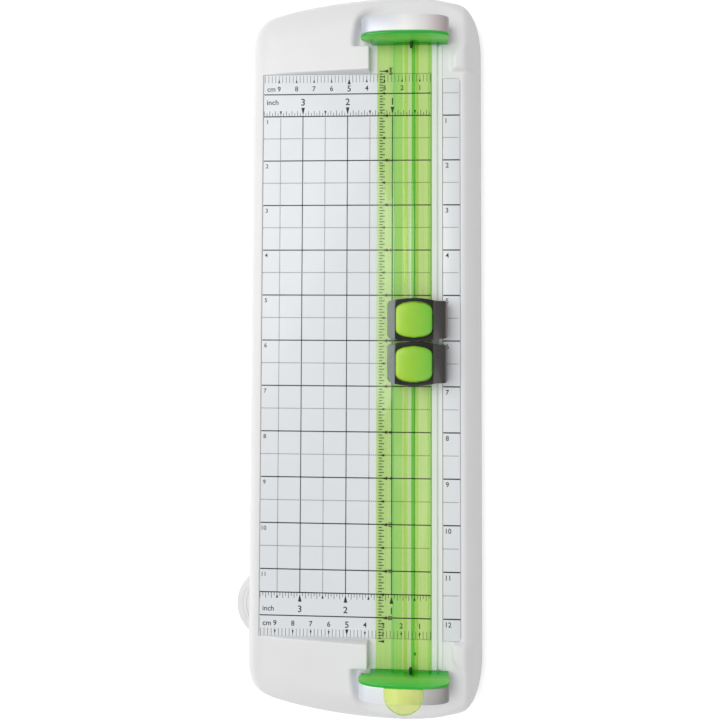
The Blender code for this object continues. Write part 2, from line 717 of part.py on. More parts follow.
def rear_end_plate(parent):
    plate = end_plate_solid("rear_end_plate", 1)
    for offset in (-EAR_OFFSET, EAR_OFFSET):
        start = ARCH_X + offset - EAR_WIDTH / 2
        ear = extruded(f"ear_{offset}", ear_outline(), start, start + EAR_WIDTH, "YZ")
        join(plate, ear, "UNION")
    join(plate, rod("ear_bore", (ARCH_X, PIN_Y, PIN_Z), PIN_BORE, 26, "X", segments=16))
    return finish(round_shading(plate), material["deep_green"], parent)


def lift_tab_outline():
    centre_y = -(TAB_TIP_Y - TAB_RADIUS)
    root_y = -(PLATE_FACE_Y + 0.4)
    points = [(TAB_X + TAB_RADIUS, root_y), (TAB_X - TAB_RADIUS, root_y)]
    return points + arc((TAB_X, centre_y), TAB_RADIUS, 180, 360, 17)


def front_end_plate(parent):
    plate = end_plate_solid("front_end_plate", -1)
    tab = extruded("lift_tab", lift_tab_outline(), TAB_BOTTOM, TAB_BOTTOM + TAB_THICKNESS)
    join(plate, tab, "UNION")
    return finish(round_shading(plate), material["deep_green"], parent)


def rail_screw(name, side, parent):
    head = PLATE_FACE_Y + PLATE_DEPTH + GAP
    tip = RAIL_HALF_LENGTH - RAIL_SCREW_DEPTH + 0.6
    profile = [(0.0, head + 1.0), (1.6, head + 0.8), (1.8, head), (RAIL_SCREW_RADIUS, head)]
    profile += [(RAIL_SCREW_RADIUS, tip + 0.6), (0.4, tip), (0.0, tip)]
    if side < 0:
        profile = [(radius, -height) for radius, height in reversed(profile)]
    screw = turned(name, profile, (RAIL_SCREW_X, 0.0, RAIL_SCREW_Z), "Y", steps=12)
    return finish(screw, material["steel"], parent)


# ---------------------------------------------------------------- carriages

def barrel_outline(left, right, side, bulge, centre_y, inset=0.0):
    """A rectangle whose two ends bulge outwards and whose corners are rounded."""
    left, right, side = left + inset, right - inset, side - inset
    corner = 2.0
    middle = (left + right) / 2
    half = (right - left) / 2 - corner
    points = []
    for sign in (-1, 1):
        for i in range(9):
            across = sign * (2 * i / 8 - 1) * -1
            lift = side + bulge * (1 - across * across)
            points.append((middle + across * half, centre_y + sign * lift))
        shoulder = middle + (half + corner) * (-1 if sign > 0 else 1)
        points.append((shoulder, centre_y + sign * (side - corner)))
        points.append((shoulder, centre_y - sign * (side - corner)))
    return points


def housing_section(inset=0.0, low=0.0):
    """The carriage's section across the rail: a low left skirt, a flat top and a taller right flank."""
    left, right, top = CARRIAGE_LEFT + inset, CARRIAGE_RIGHT - inset, CARRIAGE_TOP - inset
    points = [(left, BED_Z + 2.7 - low), (RAIL_STEP + 1.0, BED_Z + 2.7 - low)]
    points += [(RAIL_STEP + 1.0, BED_Z + 0.8 - low), (right, BED_Z + 0.8 - low)]
    points += [(right, BED_Z + 6.0), (right - 0.4, BED_Z + 9.4), (right - 1.5, top - 1.0)]
    points += [(right - 3.6, top - 0.2), (right - 6.0, top), (left + 6.2, top)]
    points += [(left + 3.4, top - 1.5), (left + 1.4, BED_Z + 8.2)]
    points.append((left + 0.2, BED_Z + 5.2))
    return points


def housing(name, centre_y, parent):
    plan = (CARRIAGE_LEFT, CARRIAGE_RIGHT, CARRIAGE_SIDE, CARRIAGE_BULGE, centre_y)
    outer = barrel_outline(*plan)
    shell = extruded(f"{name}_housing", outer, BED_Z - 1, CARRIAGE_TOP + 1)
    reach = CARRIAGE_SIDE + CARRIAGE_BULGE + 2
    section = extruded(f"{name}_section", housing_section(), centre_y - reach, centre_y + reach, "XZ")
    join(shell, section, "INTERSECT")
    cavity = extruded(f"{name}_cavity", barrel_outline(*plan, CARRIAGE_WALL), BED_Z - 2, CARRIAGE_TOP + 1)
    inner_section = housing_section(CARRIAGE_WALL, low=4.0)
    inner_name = f"{name}_cavity_section"
    join(cavity, extruded(inner_name, inner_section, centre_y - reach, centre_y + reach, "XZ"), "INTERSECT")
    join(shell, cavity)
    opening = barrel_outline(BUTTON_LEFT, BUTTON_RIGHT, BUTTON_SIDE, BUTTON_BULGE, centre_y, -0.35)
    join(shell, extruded(f"{name}_opening", opening, CARRIAGE_TOP - 3, CARRIAGE_TOP + 3))
    join(shell, rail_passage(name, centre_y))
    return finish(round_shading(shell), material["charcoal"], parent)


def rail_passage(name, centre_y):
    """Room in the carriage's end walls for the rail's deck and track."""
    clear = 0.5
    points = [
        (CARRIAGE_LEFT - 1, BED_Z - 1),
        (RAIL_RIGHT + clear, BED_Z - 1),
        (RAIL_RIGHT + clear, DECK_TOP + clear),
        (TRACK_RIGHT + clear, DECK_TOP + clear),
        (TRACK_RIGHT + clear, TRACK_TOP + clear),
        (TRACK_LEFT - clear, TRACK_TOP + clear),
        (TRACK_LEFT - clear, DECK_TOP + clear),
        (RAIL_STEP - clear, DECK_TOP + clear),
        (RAIL_STEP - clear, FLANGE_TOP + clear),
        (CARRIAGE_LEFT - 1, FLANGE_TOP + clear),
    ]
    return extruded(f"{name}_passage", points, centre_y - 14, centre_y + 14, "XZ")


def shoe(name, centre_y, parent):
    """A liner that hooks under both lips of the track."""
    clear = 0.35
    hook = 0.9
    left, right = TRACK_LEFT - clear - 1.2, TRACK_RIGHT + clear + 1.2
    low, high = TRACK_TOP - TRACK_LIP - clear - hook, TRACK_TOP + clear + 1.1
    hook_top = TRACK_TOP - TRACK_LIP - clear
    points = [
        (left, low),
        (NECK_LEFT - clear, low),
        (NECK_LEFT - clear, hook_top),
        (TRACK_LEFT - clear, hook_top),
        (TRACK_LEFT - clear, TRACK_TOP + clear),
        (TRACK_RIGHT + clear, TRACK_TOP + clear),
        (TRACK_RIGHT + clear, hook_top),
        (NECK_RIGHT + clear, hook_top),
        (NECK_RIGHT + clear, low),
        (right, low),
        (right, high),
        (left, high),
    ]
    body = extruded(f"{name}_shoe", points, centre_y - SHOE_HALF_LENGTH, centre_y + SHOE_HALF_LENGTH, "XZ")
    return finish(body, material["charcoal"], parent)


def button(name, centre_y, parent):
    """A crowned push button, hollow underneath for the spring."""
    outline = barrel_outline(BUTTON_LEFT, BUTTON_RIGHT, BUTTON_SIDE, BUTTON_BULGE, centre_y)
    cap = extruded(f"{name}_button", outline, BUTTON_BOTTOM, BUTTON_RIM + 2)
    reach = BUTTON_SIDE + BUTTON_BULGE + 2
    section = [(BUTTON_LEFT - 1, BUTTON_BOTTOM - 1), (BUTTON_RIGHT + 1, BUTTON_BOTTOM - 1)]
    middle = (BUTTON_LEFT + BUTTON_RIGHT) / 2
    half = (BUTTON_RIGHT - BUTTON_LEFT) / 2 + 1
    for i in range(9):
        across = 1 - 2 * i / 8
        section.append((middle + across * half, BUTTON_RIM + BUTTON_CROWN * (1 - across * across)))
    crown = extruded(f"{name}_crown", section, centre_y - reach, centre_y + reach, "XZ")
    join(cap, crown, "INTERSECT")
    inner = barrel_outline(BUTTON_LEFT, BUTTON_RIGHT, BUTTON_SIDE, BUTTON_BULGE, centre_y, BUTTON_WALL)
    join(cap, extruded(f"{name}_button_inside", inner, BUTTON_BOTTOM - 1, BUTTON_RIM - 0.2))
    return finish(round_shading(cap), material["button_green"], parent)


def blade_holder(name, centre_y, parent):
    """A fork under the button's right edge whose two cheeks carry the axle."""
    low_y, high_y = centre_y - HOLDER_HALF_WIDTH, centre_y + HOLDER_HALF_WIDTH
    arm_bottom = BED_Z + WHEEL_LIFT + 2 * WHEEL_RADIUS + 0.5
    fork_high = (CUT_X + CHEEK_OUTER, high_y, HOLDER_TOP)
    fork = box(f"{name}_blade_holder", (HOLDER_LEFT, low_y, arm_bottom), fork_high)
    for side in (-1, 1):
        near, far = CUT_X + side * CHEEK_INNER, CUT_X + side * CHEEK_OUTER
        low = (min(near, far), low_y, WHEEL_Z - 1.8)
        high = (max(near, far), high_y, HOLDER_TOP - 0.1)
        join(fork, box(f"{name}_cheek_{side}", low, high), "UNION")
    centre = (CUT_X, centre_y, WHEEL_Z)
    join(fork, rod(f"{name}_fork_bore", centre, AXLE_RADIUS + 0.25, 6.0, "X", segments=16))
    return finish(fork, material["charcoal"], parent)


def wheel(name, centre_y, parent):
    """The cutter's wheel is thin with a sharp edge, and the scorer's is thicker with a blunt one."""
    half = WHEEL_THICKNESS[name] / 2
    edge = WHEEL_EDGE[name] / 2
    rim = WHEEL_RADIUS - 1.2
    profile = [
        (WHEEL_BORE, half),
        (rim, half),
        (WHEEL_RADIUS, edge),
        (WHEEL_RADIUS, -edge),
        (rim, -half),
        (WHEEL_BORE, -half),
    ]
    disc = turned(f"{name}_wheel", profile, (CUT_X, centre_y, WHEEL_Z), "X", steps=32, ring=True)
    return finish(disc, material["steel"], parent)


def spring(name, centre_y, parent):
    """A short coil between the shoe and the button's underside."""
    low = TRACK_TOP + 0.35 + 1.1 + GAP + SPRING_WIRE
    high = BUTTON_RIM - 0.2 - GAP - SPRING_WIRE
    curve = bpy.data.curves.new(f"{name}_spring", "CURVE")
    curve.dimensions = "3D"
    curve.bevel_depth = SPRING_WIRE * MM
    curve.bevel_resolution = 1
    curve.use_fill_caps = True
    line = curve.splines.new("POLY")
    count = int(SPRING_TURNS * 12)
    line.points.add(count)
    for i, point in enumerate(line.points):
        angle = 2 * pi * SPRING_TURNS * i / count
        x, y = SPRING_RADIUS * cos(angle), SPRING_RADIUS * sin(angle)
        point.co = (x * MM, y * MM, (low + (high - low) * i / count) * MM, 1.0)
    coil = bpy.data.objects.new(f"{name}_spring", curve)
    PARTS.objects.link(coil)
    coil.matrix_world = Matrix.Translation(((TRACK_LEFT + TRACK_RIGHT) / 2 * MM, centre_y * MM, 0.0))
    return finish(coil, material["steel"], parent)


def carriage(name, centre_y, rail_pivot):
    slide = pivot(f"{name}_slide", (ARCH_X, centre_y, TRACK_TOP), rail_pivot)
    press = pivot(f"{name}_press", (ARCH_X, centre_y, BUTTON_RIM), slide)
    axis = pivot(f"{name}_wheel_axis", (CUT_X, centre_y, WHEEL_Z), press)
    housing(name, centre_y, slide)
    shoe(name, centre_y, slide)
    button(name, centre_y, press)
    blade_holder(name, centre_y, press)
    centre = (CUT_X, centre_y, WHEEL_Z)
    axle = rod(f"{name}_axle", centre, AXLE_RADIUS, 2 * AXLE_HALF_LENGTH, "X", segments=14)
    finish(round_shading(axle), material["steel"], press)
    spring(name, centre_y, slide)
    wheel(name, centre_y, axis)


# ---------------------------------------------------------------- ruler arm

def arm_outline():
    """A long strip with a round end at its pivot and a round thumb tab that shows beside the base."""
    x, y = ARM_PIVOT
    centre_x, centre_y = ARM_TAB_CENTRE
    left, right = x - ARM_HALF_WIDTH, x + ARM_HALF_WIDTH
    points = [(right, ARM_FRONT), (right, y)]
    points += arc(ARM_PIVOT, ARM_HALF_WIDTH, 0, 180, 13)[1:-1]
    points.append((left, y))
    rise = (ARM_TAB_RADIUS ** 2 - (left - centre_x) ** 2) ** 0.5
    points.append((left, centre_y + rise))
    low_rise = (ARM_TAB_RADIUS ** 2 - (ARM_FRONT - centre_y) ** 2) ** 0.5
    start = 180 - angle_of(centre_x - left, rise)
    end = 180 + angle_of(low_rise, centre_y - ARM_FRONT)
    points += arc(ARM_TAB_CENTRE, ARM_TAB_RADIUS, start, end, 15)[1:]
    return points


def angle_of(across, up):
    """The angle in degrees above the horizontal."""
    return degrees(atan2(up, across))


def ruler_arm():
    axis = pivot("arm_pivot", (*ARM_PIVOT, ARM_BOTTOM))
    arm = extruded("ruler_arm", arm_outline(), ARM_BOTTOM, ARM_BOTTOM + ARM_THICKNESS)
    join(arm, rod("arm_bore", (*ARM_PIVOT, ARM_BOTTOM + 1), ARM_SCREW_BORE, 8.0, segments=20))
    finish(round_shading(arm), material["arm_plastic"], axis)


def arm_screw():
    """A shouldered screw, up through the arm into the boss above it."""
    x, y = ARM_PIVOT
    head_top = ARM_BOTTOM - GAP
    tip = 9.6
    head_low = head_top - 1.2
    profile = [(0.0, tip), (ARM_SCREW_RADIUS - 0.5, tip), (ARM_SCREW_RADIUS, tip - 0.6)]
    profile += [(ARM_SCREW_RADIUS, head_top), (ARM_SCREW_HEAD, head_top)]
    profile += [(ARM_SCREW_HEAD - 0.4, head_low), (0.0, head_low)]
    finish(turned("arm_pivot_screw", profile, (x, y, 0.0), steps=20), material["steel"])


# ---------------------------------------------------------------- build

clear_scene()
PARTS = new_collection("paper_trimmer")
CUTTERS = new_collection("cutters")
SHADING = shading_group()
material = {
    "white_abs": make_material("white_abs", WHITE, 0.45),
    "bed_print": make_material("bed_print", BED_WHITE, 0.5),
    "strip_plastic": make_material("strip_plastic", STRIP_WHITE, 0.5),
    "clear_green": make_material("clear_green", CLEAR_GREEN, 0.15),
    "deep_green": make_material("deep_green", DEEP_GREEN, 0.15),
    "button_green": make_material("button_green", BUTTON_GREEN, 0.35),
    "charcoal": make_material("charcoal", CHARCOAL, 0.3),
    "silver": make_material("silver", SILVER, 0.35, 0.9),
    "steel": make_material("steel", STEEL, 0.3, 1.0),
    "rubber": make_material("rubber", RUBBER, 0.9),
    "arm_plastic": make_material("arm_plastic", WHITE, 0.45),
}
base_body()
bed_plate()
side_scale_plate()
cutting_strip()
feet()
front_hood()
hood_screws()
hinge_pin()
rail_pivot = pivot("rail_pivot", (ARCH_X, PIN_Y, PIN_Z))
rail(rail_pivot)
rear_end_plate(rail_pivot)
front_end_plate(rail_pivot)
rear_hood(rail_pivot)
rail_screw("rear_rail_screw", 1, rail_pivot)
rail_screw("front_rail_screw", -1, rail_pivot)
for carriage_name, place in CARRIAGES.items():
    carriage(carriage_name, place, rail_pivot)
ruler_arm()
arm_screw()
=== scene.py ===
"""The looks of the rotary paper trimmer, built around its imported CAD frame.

Lengths are in millimetres and are turned into metres where a mesh is made. The frame has its origin on the
table under the middle, +X to the right of the bed, +Y towards the hinge and +Z up.
"""

import json
from math import atan2, cos, degrees, pi, radians, sin

import bmesh
import bpy
import numpy as np
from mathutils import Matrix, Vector


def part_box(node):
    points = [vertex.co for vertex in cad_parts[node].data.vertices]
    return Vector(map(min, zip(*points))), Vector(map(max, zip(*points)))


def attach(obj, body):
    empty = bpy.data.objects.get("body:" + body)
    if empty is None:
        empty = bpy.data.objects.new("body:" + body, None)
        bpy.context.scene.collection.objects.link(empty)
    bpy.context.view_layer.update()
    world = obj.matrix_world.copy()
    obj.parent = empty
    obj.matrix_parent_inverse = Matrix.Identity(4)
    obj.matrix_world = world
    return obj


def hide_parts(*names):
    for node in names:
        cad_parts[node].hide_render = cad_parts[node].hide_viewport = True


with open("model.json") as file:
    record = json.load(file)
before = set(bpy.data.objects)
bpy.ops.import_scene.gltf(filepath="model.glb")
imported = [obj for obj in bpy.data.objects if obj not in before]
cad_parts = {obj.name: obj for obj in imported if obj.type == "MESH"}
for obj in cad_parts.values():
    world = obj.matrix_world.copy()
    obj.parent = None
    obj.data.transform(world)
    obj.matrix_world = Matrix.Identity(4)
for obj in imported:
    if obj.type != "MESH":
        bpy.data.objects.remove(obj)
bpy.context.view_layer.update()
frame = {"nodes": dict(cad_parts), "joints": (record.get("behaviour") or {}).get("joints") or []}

MM = 0.001
INCH = 25.4
CM = 10.0


def span(node):
    """A CAD node's lowest and highest corner in millimetres."""
    low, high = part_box(node)
    return low / MM, high / MM


def middle_of(node):
    low, high = span(node)
    return (low + high) / 2


BASE_LOW, BASE_HIGH = span("base_body")
BED_LOW, BED_HIGH = span("bed_plate")
SIDE_LOW, SIDE_HIGH = span("side_scale_plate")
STRIP_LOW, STRIP_HIGH = span("cutting_strip")
RAIL_LOW, RAIL_HIGH = span("rail")
PLATE_LOW, PLATE_HIGH = span("rear_end_plate")
FRONT_LOW, FRONT_HIGH = span("front_end_plate")
ARM_LOW, ARM_HIGH = span("ruler_arm")
BED_Z = BED_HIGH.z
CUT_X = middle_of("scorer_wheel").x
GAP = 0.3

# base
FENCE_Y = BED_HIGH.y + GAP
RIM_ROUND = 5.0
RIM_DROP = 4.0
RIM_FADE = (48.0, 18.0)
SLOPE_START = SIDE_HIGH.x + 2.1
SLOPE_DROP = 7.0
BLOCK_LEFT = -57.0
BLOCK_RIGHT = 6.15
BLOCK_HEIGHT = 5.4
RIGHT_BLOCK_LEFT = 51.15
RIGHT_BLOCK_HEIGHT = 2.6
RIGHT_BLOCK_EDGE = 2.6
RIGHT_RAMP = 14.0
RIGHT_FADE = (25.0, 26.0)
BLOCK_LENGTH = 14.7
BLOCK_FADE = (-4.7, 40.0)
SCOOP_WIDTH = 5.5
BLOCK_EDGE = 1.1
END_FADE = 17.0
RIGHT_END_FADE = 14.0
BASE_WALL = 1.2
RIM_BAND = 1.2
CHANNEL_FLOOR = STRIP_LOW.z - GAP
PLATE_FLOOR = BED_LOW.z - GAP
SKIRT_Z = 10.45

# rail
RAIL_STEP = RAIL_LOW.x + 8.7
FLANGE_TOP = RAIL_LOW.z + 1.8
DECK_TOP = RAIL_LOW.z + 3.6
DECK_WALL = 1.6
TRACK_MIDDLE = 29.15
TRACK_TOP = BED_Z + 6.7
TRACK_HALF = 3.9
NECK_HALF = 1.95
TRACK_LIP = 1.1
SLOT_LEFT = 26.15
SLOT_RIGHT = 29.35
SLOT_DEPTH = 0.6

# end plates and hoods
ARCH_X = middle_of("rear_end_plate").x
ARCH_POWER = 2.6
ARCH_POINTS = 48
PLATE_SIDE_Z = BED_Z + 8.6
PLATE_STEP_X = 7.2
PLATE_THICKNESS = 1.6
HOOD_SIDE_Z = BED_Z + 8.2
HOOD_WALL = 1.2
PIN_CENTRE = middle_of("hinge_pin")
PIN_BORE = 1.45
LUG_OFFSET = 13.5
LUG_WIDTH = 3.0
LUG_RADIUS = 2.2
EAR_OFFSET = 9.0
EAR_WIDTH = 4.0
EAR_RADIUS = 2.0
TAB_X = 24.95
TAB_RADIUS = 10.4
TAB_THICKNESS = 1.4
SEAT_Y = 179.2

# carriages
FLANK_HALF = 10.2
FLANK_CORNER = 2.0
SWELL_MIDDLE = 30.3
SWELL_HALF = 12.0
HOUSING_WALL = 1.3
HOUSING_ROOF = 1.2
BUTTON_POWER = 9.0
BUTTON_BOW = 0.27
BUTTON_GAP = 0.35
BUTTON_WALL = 2.0
BUTTON_HOLLOW = 1.6
BUTTON_EDGE = 1.3
BUTTON_FALL = (0.75, 1.0)
BUTTON_DISH = 0.22
BUTTON_RINGS = (1.0, 0.99, 0.965, 0.93, 0.88, 0.8, 0.68, 0.52, 0.35, 0.18)

# print
ROW_ZERO = 6.25 * INCH
INK = 0.02
PRINT_LEFT = BED_LOW.x + 0.2
PRINT_RIGHT = BED_HIGH.x

# studio
FLOOR_GLOW = 0.36
WORLD_LIGHT = (0.74, 0.27)
CAMERA_LENS = 30.0
CAMERA_PLACE = (14.75, 20.0, 350.28)
CAMERA_TURN = (1.811, 2.377, 0.180)
CAMERA_SHIFT = -0.0872


# ---- materials

def new_material(name):
    material = bpy.data.materials.new(name)
    material.use_nodes = True
    material.node_tree.nodes.clear()
    return material, material.node_tree


def add(tree, kind, **inputs):
    """A new shader node. Each input is another node's output, which is linked, or a value."""
    node = tree.nodes.new(f"ShaderNode{kind}")
    for name, given in inputs.items():
        socket = node.inputs[name.replace("_", " ")]
        if isinstance(given, bpy.types.NodeSocket):
            tree.links.new(given, socket)
        else:
            socket.default_value = given
    return node


def noise(tree, scale, detail=3.0, stretch=(1.0, 1.0, 1.0)):
    """Noise in the object's own space, where a metre is one unit."""
    mapping = add(tree, "Mapping", Vector=add(tree, "TexCoord").outputs["Object"], Scale=stretch)
    return add(tree, "TexNoise", Vector=mapping.outputs["Vector"], Scale=scale, Detail=detail).outputs["Fac"]


def remap(tree, value, low, high, start=0.25, end=0.75):
    ranged = add(tree, "MapRange", Value=value, From_Min=start, From_Max=end, To_Min=low, To_Max=high)
    return ranged.outputs["Result"]


def ramp(tree, value, dark, light):
    colours = add(tree, "Mix")
    colours.data_type = "RGBA"
    colours.inputs["A"].default_value = (*dark, 1.0)
    colours.inputs["B"].default_value = (*light, 1.0)
    tree.links.new(remap(tree, value, 0.0, 1.0), colours.inputs["Factor"])
    return colours.outputs["Result"]


def across(tree, left, right, colours, axis="X"):
    """A blend of colours along an axis, given as (share of the way, colour)."""
    split = add(tree, "SeparateXYZ", Vector=add(tree, "TexCoord").outputs["Object"])
    blend = add(tree, "ValToRGB", Fac=remap(tree, split.outputs[axis], 0.0, 1.0, left * MM, right * MM))
    stops = blend.color_ramp.elements
    while len(stops) < len(colours):
        stops.new(0.5)
    for stop, (place, colour) in zip(stops, colours):
        stop.position = place
        stop.color = (*colour, 1.0)
    return blend.outputs["Color"]


def shade(colour, factor):
    return tuple(min(c * factor, 1.0) for c in colour)


def bump(tree, value, depth):
    return add(tree, "Bump", Height=value, Strength=0.6, Distance=depth * MM).outputs["Normal"]


def shaded(material, colour, gloss, normal, metallic=0.0, coat=0.0):
    """Finishes a material with a Principled shader."""
    tree = material.node_tree
    shader = add(tree, "BsdfPrincipled", Base_Color=colour, Roughness=gloss, Normal=normal,
                 Metallic=metallic, Coat_Weight=coat, Coat_Roughness=0.08)
    add(tree, "OutputMaterial", Surface=shader.outputs["BSDF"])
    return material


def plastic(name, colour, roughness, vary, depth, coat=0.0, grain=900.0):
    """Moulded plastic: slight mottling, uneven gloss and a fine moulded grain."""
    material, tree = new_material(name)
    mottle = ramp(tree, noise(tree, 60.0), shade(colour, 1 - vary), shade(colour, 1 + vary))
    gloss = remap(tree, noise(tree, 180.0), roughness * 0.85, roughness * 1.15)
    return shaded(material, mottle, gloss, bump(tree, noise(tree, grain, 5.0), depth), coat=coat)


def metal(name, colour, roughness, stretch):
    """Ground metal: streaks are short across the grinding and long along it."""
    material, tree = new_material(name)
    streaks = noise(tree, 60.0, 6.0, stretch)
    colours = ramp(tree, streaks, shade(colour, 0.92), shade(colour, 1.08))
    gloss = remap(tree, streaks, roughness * 0.75, roughness * 1.25)
    return shaded(material, colours, gloss, bump(tree, streaks, 0.02), metallic=1.0)


def blended(name, left, right, colours, roughness, metallic, stretch, coat=0.0):
    """A surface whose colour runs from left to right as painted light and shade, with fine streaks in its
    gloss.
    """
    material, tree = new_material(name)
    streaks = noise(tree, 60.0, 5.0, stretch)
    gloss = remap(tree, streaks, roughness * 0.85, roughness * 1.15)
    colour = across(tree, left, right, colours)
    return shaded(material, colour, gloss, bump(tree, streaks, 0.004), metallic, coat)


def mix_shaders(tree, share, first, second):
    mixed = add(tree, "MixShader", Fac=share)
    tree.links.new(first.outputs[0], mixed.inputs[1])
    tree.links.new(second.outputs[0], mixed.inputs[2])
    return mixed


def outer_reflection(tree):
    """How much a surface reflects: a Fresnel share on its outer side, and nothing on its inner side."""
    share = add(tree, "Math")
    share.operation = "SUBTRACT"
    share.use_clamp = True
    tree.links.new(add(tree, "Fresnel", IOR=1.45).outputs["Fac"], share.inputs[0])
    tree.links.new(add(tree, "NewGeometry").outputs["Backfacing"], share.inputs[1])
    return share.outputs[0]


def clear_plastic(name, tint, solid=0.0, colours=(0.3, 0.7, 0.1), roughness=0.08):
    """Coloured clear plastic with fine draw lines, through which light passes straight.

    It is solid to a given share, in one colour or in a list of colours that blend up the end plates as
    painted light and shade.
    """
    material, tree = new_material(name)
    lines = noise(tree, 60.0, 5.0, (14.0, 0.05, 14.0))
    through = add(tree, "BsdfTransparent", Color=ramp(tree, lines, shade(tint, 0.965), shade(tint, 1.03)))
    if isinstance(colours, list):
        colour = across(tree, RAIL_LOW.z, PLATE_HIGH.z, colours, "Z")
    else:
        colour = (*colours, 1.0)
    filled = mix_shaders(tree, solid, through, add(tree, "BsdfDiffuse", Color=colour))
    gloss = remap(tree, lines, roughness * 0.7, roughness * 1.4)
    shine = add(tree, "BsdfGlossy", Color=(1.0, 1.0, 1.0, 1.0), Roughness=gloss)
    shader = mix_shaders(tree, outer_reflection(tree), filled, shine)
    add(tree, "OutputMaterial", Surface=shader.outputs[0])
    return material


# Each plastic's colour, roughness, mottling and depth of grain, and for some its coat and fineness of grain.
PLASTICS = {
    "white_abs": ((0.835, 0.835, 0.84), 0.42, 0.012, 0.012, 0.1),
    "bed_print": ((0.80, 0.825, 0.85), 0.35, 0.012, 0.006, 0.2),
    "strip_plastic": ((0.86, 0.89, 0.86), 0.5, 0.02, 0.02),
    "rubber": ((0.03, 0.03, 0.03), 0.85, 0.15, 0.1, 0.0, 700.0),
    "arm_plastic": ((0.80, 0.80, 0.81), 0.42, 0.015, 0.02),
    "charcoal": ((0.008, 0.009, 0.008), 0.22, 0.10, 0.01),
    "charcoal_inner": ((0.02, 0.02, 0.02), 0.4, 0.10, 0.02),
    # The two flank colours are the housing's charcoal with painted light: a grey painted reflection on the
    # left flank and a dimmer painted reflection on the right flank.
    "flank_painted_reflection": ((0.22, 0.245, 0.25), 0.3, 0.05, 0.02, 0.3),
    "flank_painted_dim_reflection": ((0.055, 0.052, 0.05), 0.3, 0.08, 0.02, 0.3),
    "ink_black": ((0.018, 0.018, 0.020), 0.5, 0.1, 0.003),
    "ink_dark": ((0.06, 0.06, 0.065), 0.5, 0.1, 0.003),
}
# The rail is one clear green plastic; its tints differ band by band as its own green plus painted light and
# shade: the light band is painted lighter, and the walls and the deep band beside the slot are painted
# darker as painted shade.
RAIL_TINTS_AND_PAINTED_LIGHT = {
    "rail_flange": (0.73, 0.925, 0.42),
    "rail_body": (0.59, 0.90, 0.30),
    "rail_light": (0.84, 0.98, 0.45),
    "rail_wall": (0.45, 0.84, 0.34),
    "rail_deep": (0.22, 0.75, 0.10),
    "rail_mid": (0.72, 0.93, 0.43),
    "rail_slot": (0.84, 0.96, 0.60),
    "rail_under": (0.97, 0.985, 0.93),
}
RAIL_SURFACES = list(RAIL_TINTS_AND_PAINTED_LIGHT)
# The button's green with painted light: lighter and yellower on its left where the light falls, and painted
# shade in darker green on its right.
BUTTON_PAINTED_LIGHT = [(0.0, (0.42, 0.70, 0.035)), (0.45, (0.31, 0.62, 0.025)), (1.0, (0.17, 0.57, 0.045))]
# The end plates' face with painted light and shade: painted shade darkens its foot, and painted light
# brightens and yellows its middle.
FACE_PAINTED_LIGHT = [(0.0, (0.02, 0.55, 0.08)), (0.22, (0.05, 0.72, 0.09)), (0.55, (0.36, 0.97, 0.18)),
              (1.0, (0.12, 0.88, 0.14))]
# Each cloudy clear plastic's tint, solid share and solid colour or blend.
CLOUDED = {
    "deep_green": ((0.16, 0.78, 0.18), 0.6, (0.05, 0.60, 0.07)),
    "plate_face": ((0.42, 0.84, 0.22), 0.66, FACE_PAINTED_LIGHT),
    "tab_lime": ((0.955, 0.99, 0.66), 0.10, (0.80, 0.95, 0.30)),
    "tab_edge": ((0.55, 0.88, 0.32), 0.4, (0.30, 0.75, 0.13)),
}
# The hoods' silver is one finish; these blends across X paint light onto it: a painted highlight over the
# crown and left side, and painted shade towards the edges, darkest on the right.
FRONT_HOOD_PAINTED_LIGHT = [(0.0, (0.60, 0.64, 0.72)), (0.1, (0.90, 0.94, 1.0)), (0.42, (0.98, 0.98, 0.99)),
               (0.75, (0.50, 0.48, 0.48)), (1.0, (0.30, 0.28, 0.28))]
SILVER_PAINTED_LIGHT = [(0.0, (0.46, 0.48, 0.55)), (0.12, (0.66, 0.69, 0.76)), (0.5, (0.99, 0.99, 0.98)),
                (0.72, (0.86, 0.84, 0.83)), (0.86, (0.66, 0.58, 0.58)), (1.0, (0.40, 0.37, 0.37))]


def make_materials():
    made = {name: plastic(name, *settings) for name, settings in PLASTICS.items()}
    made.update({name: clear_plastic(name, tint) for name, tint in RAIL_TINTS_AND_PAINTED_LIGHT.items()})
    made["steel"] = metal("steel", (0.62, 0.62, 0.63), 0.28, (1.0, 8.0, 8.0))
    made["blade_steel"] = metal("blade_steel", (0.68, 0.69, 0.71), 0.2, (20.0, 2.0, 2.0))
    # The hoods' silver runs through painted highlight and painted shade across each hood.
    for name, colours in (("silver", SILVER_PAINTED_LIGHT), ("silver_front", FRONT_HOOD_PAINTED_LIGHT)):
        made[name] = blended(name, 0.0, 50.5, colours, 0.36, 0.2, (0.15, 30.0, 30.0))
    # The button's green runs from painted light on its left to painted shade on its right.
    made["button_green"] = blended("button_green", 20.0, 40.5, BUTTON_PAINTED_LIGHT, 0.4, 0.0, (8.0, 8.0, 8.0), 0.15)
    made.update({name: clear_plastic(name, *settings, 0.12) for name, settings in CLOUDED.items()})
    return made


# ---- meshes

PLANES = {
    "XY": lambda a, b, depth: (a, b, depth),
    "XZ": lambda a, b, depth: (a, depth, b),
    "YZ": lambda a, b, depth: (depth, a, b),
}


def place(name, data):
    """A new object in the scene."""
    thing = bpy.data.objects.new(name, data)
    bpy.context.scene.collection.objects.link(thing)
    return thing


def make_mesh(name, vertices, faces, indices=None):
    """A mesh object from millimetre points, welded and facing out."""
    mesh = bpy.data.meshes.new(name)
    mesh.from_pydata([tuple(c * MM for c in v) for v in vertices], [], faces)
    if indices is not None:
        mesh.polygons.foreach_set("material_index", indices)
    thing = place(name, mesh)
    clean(thing)
    return thing


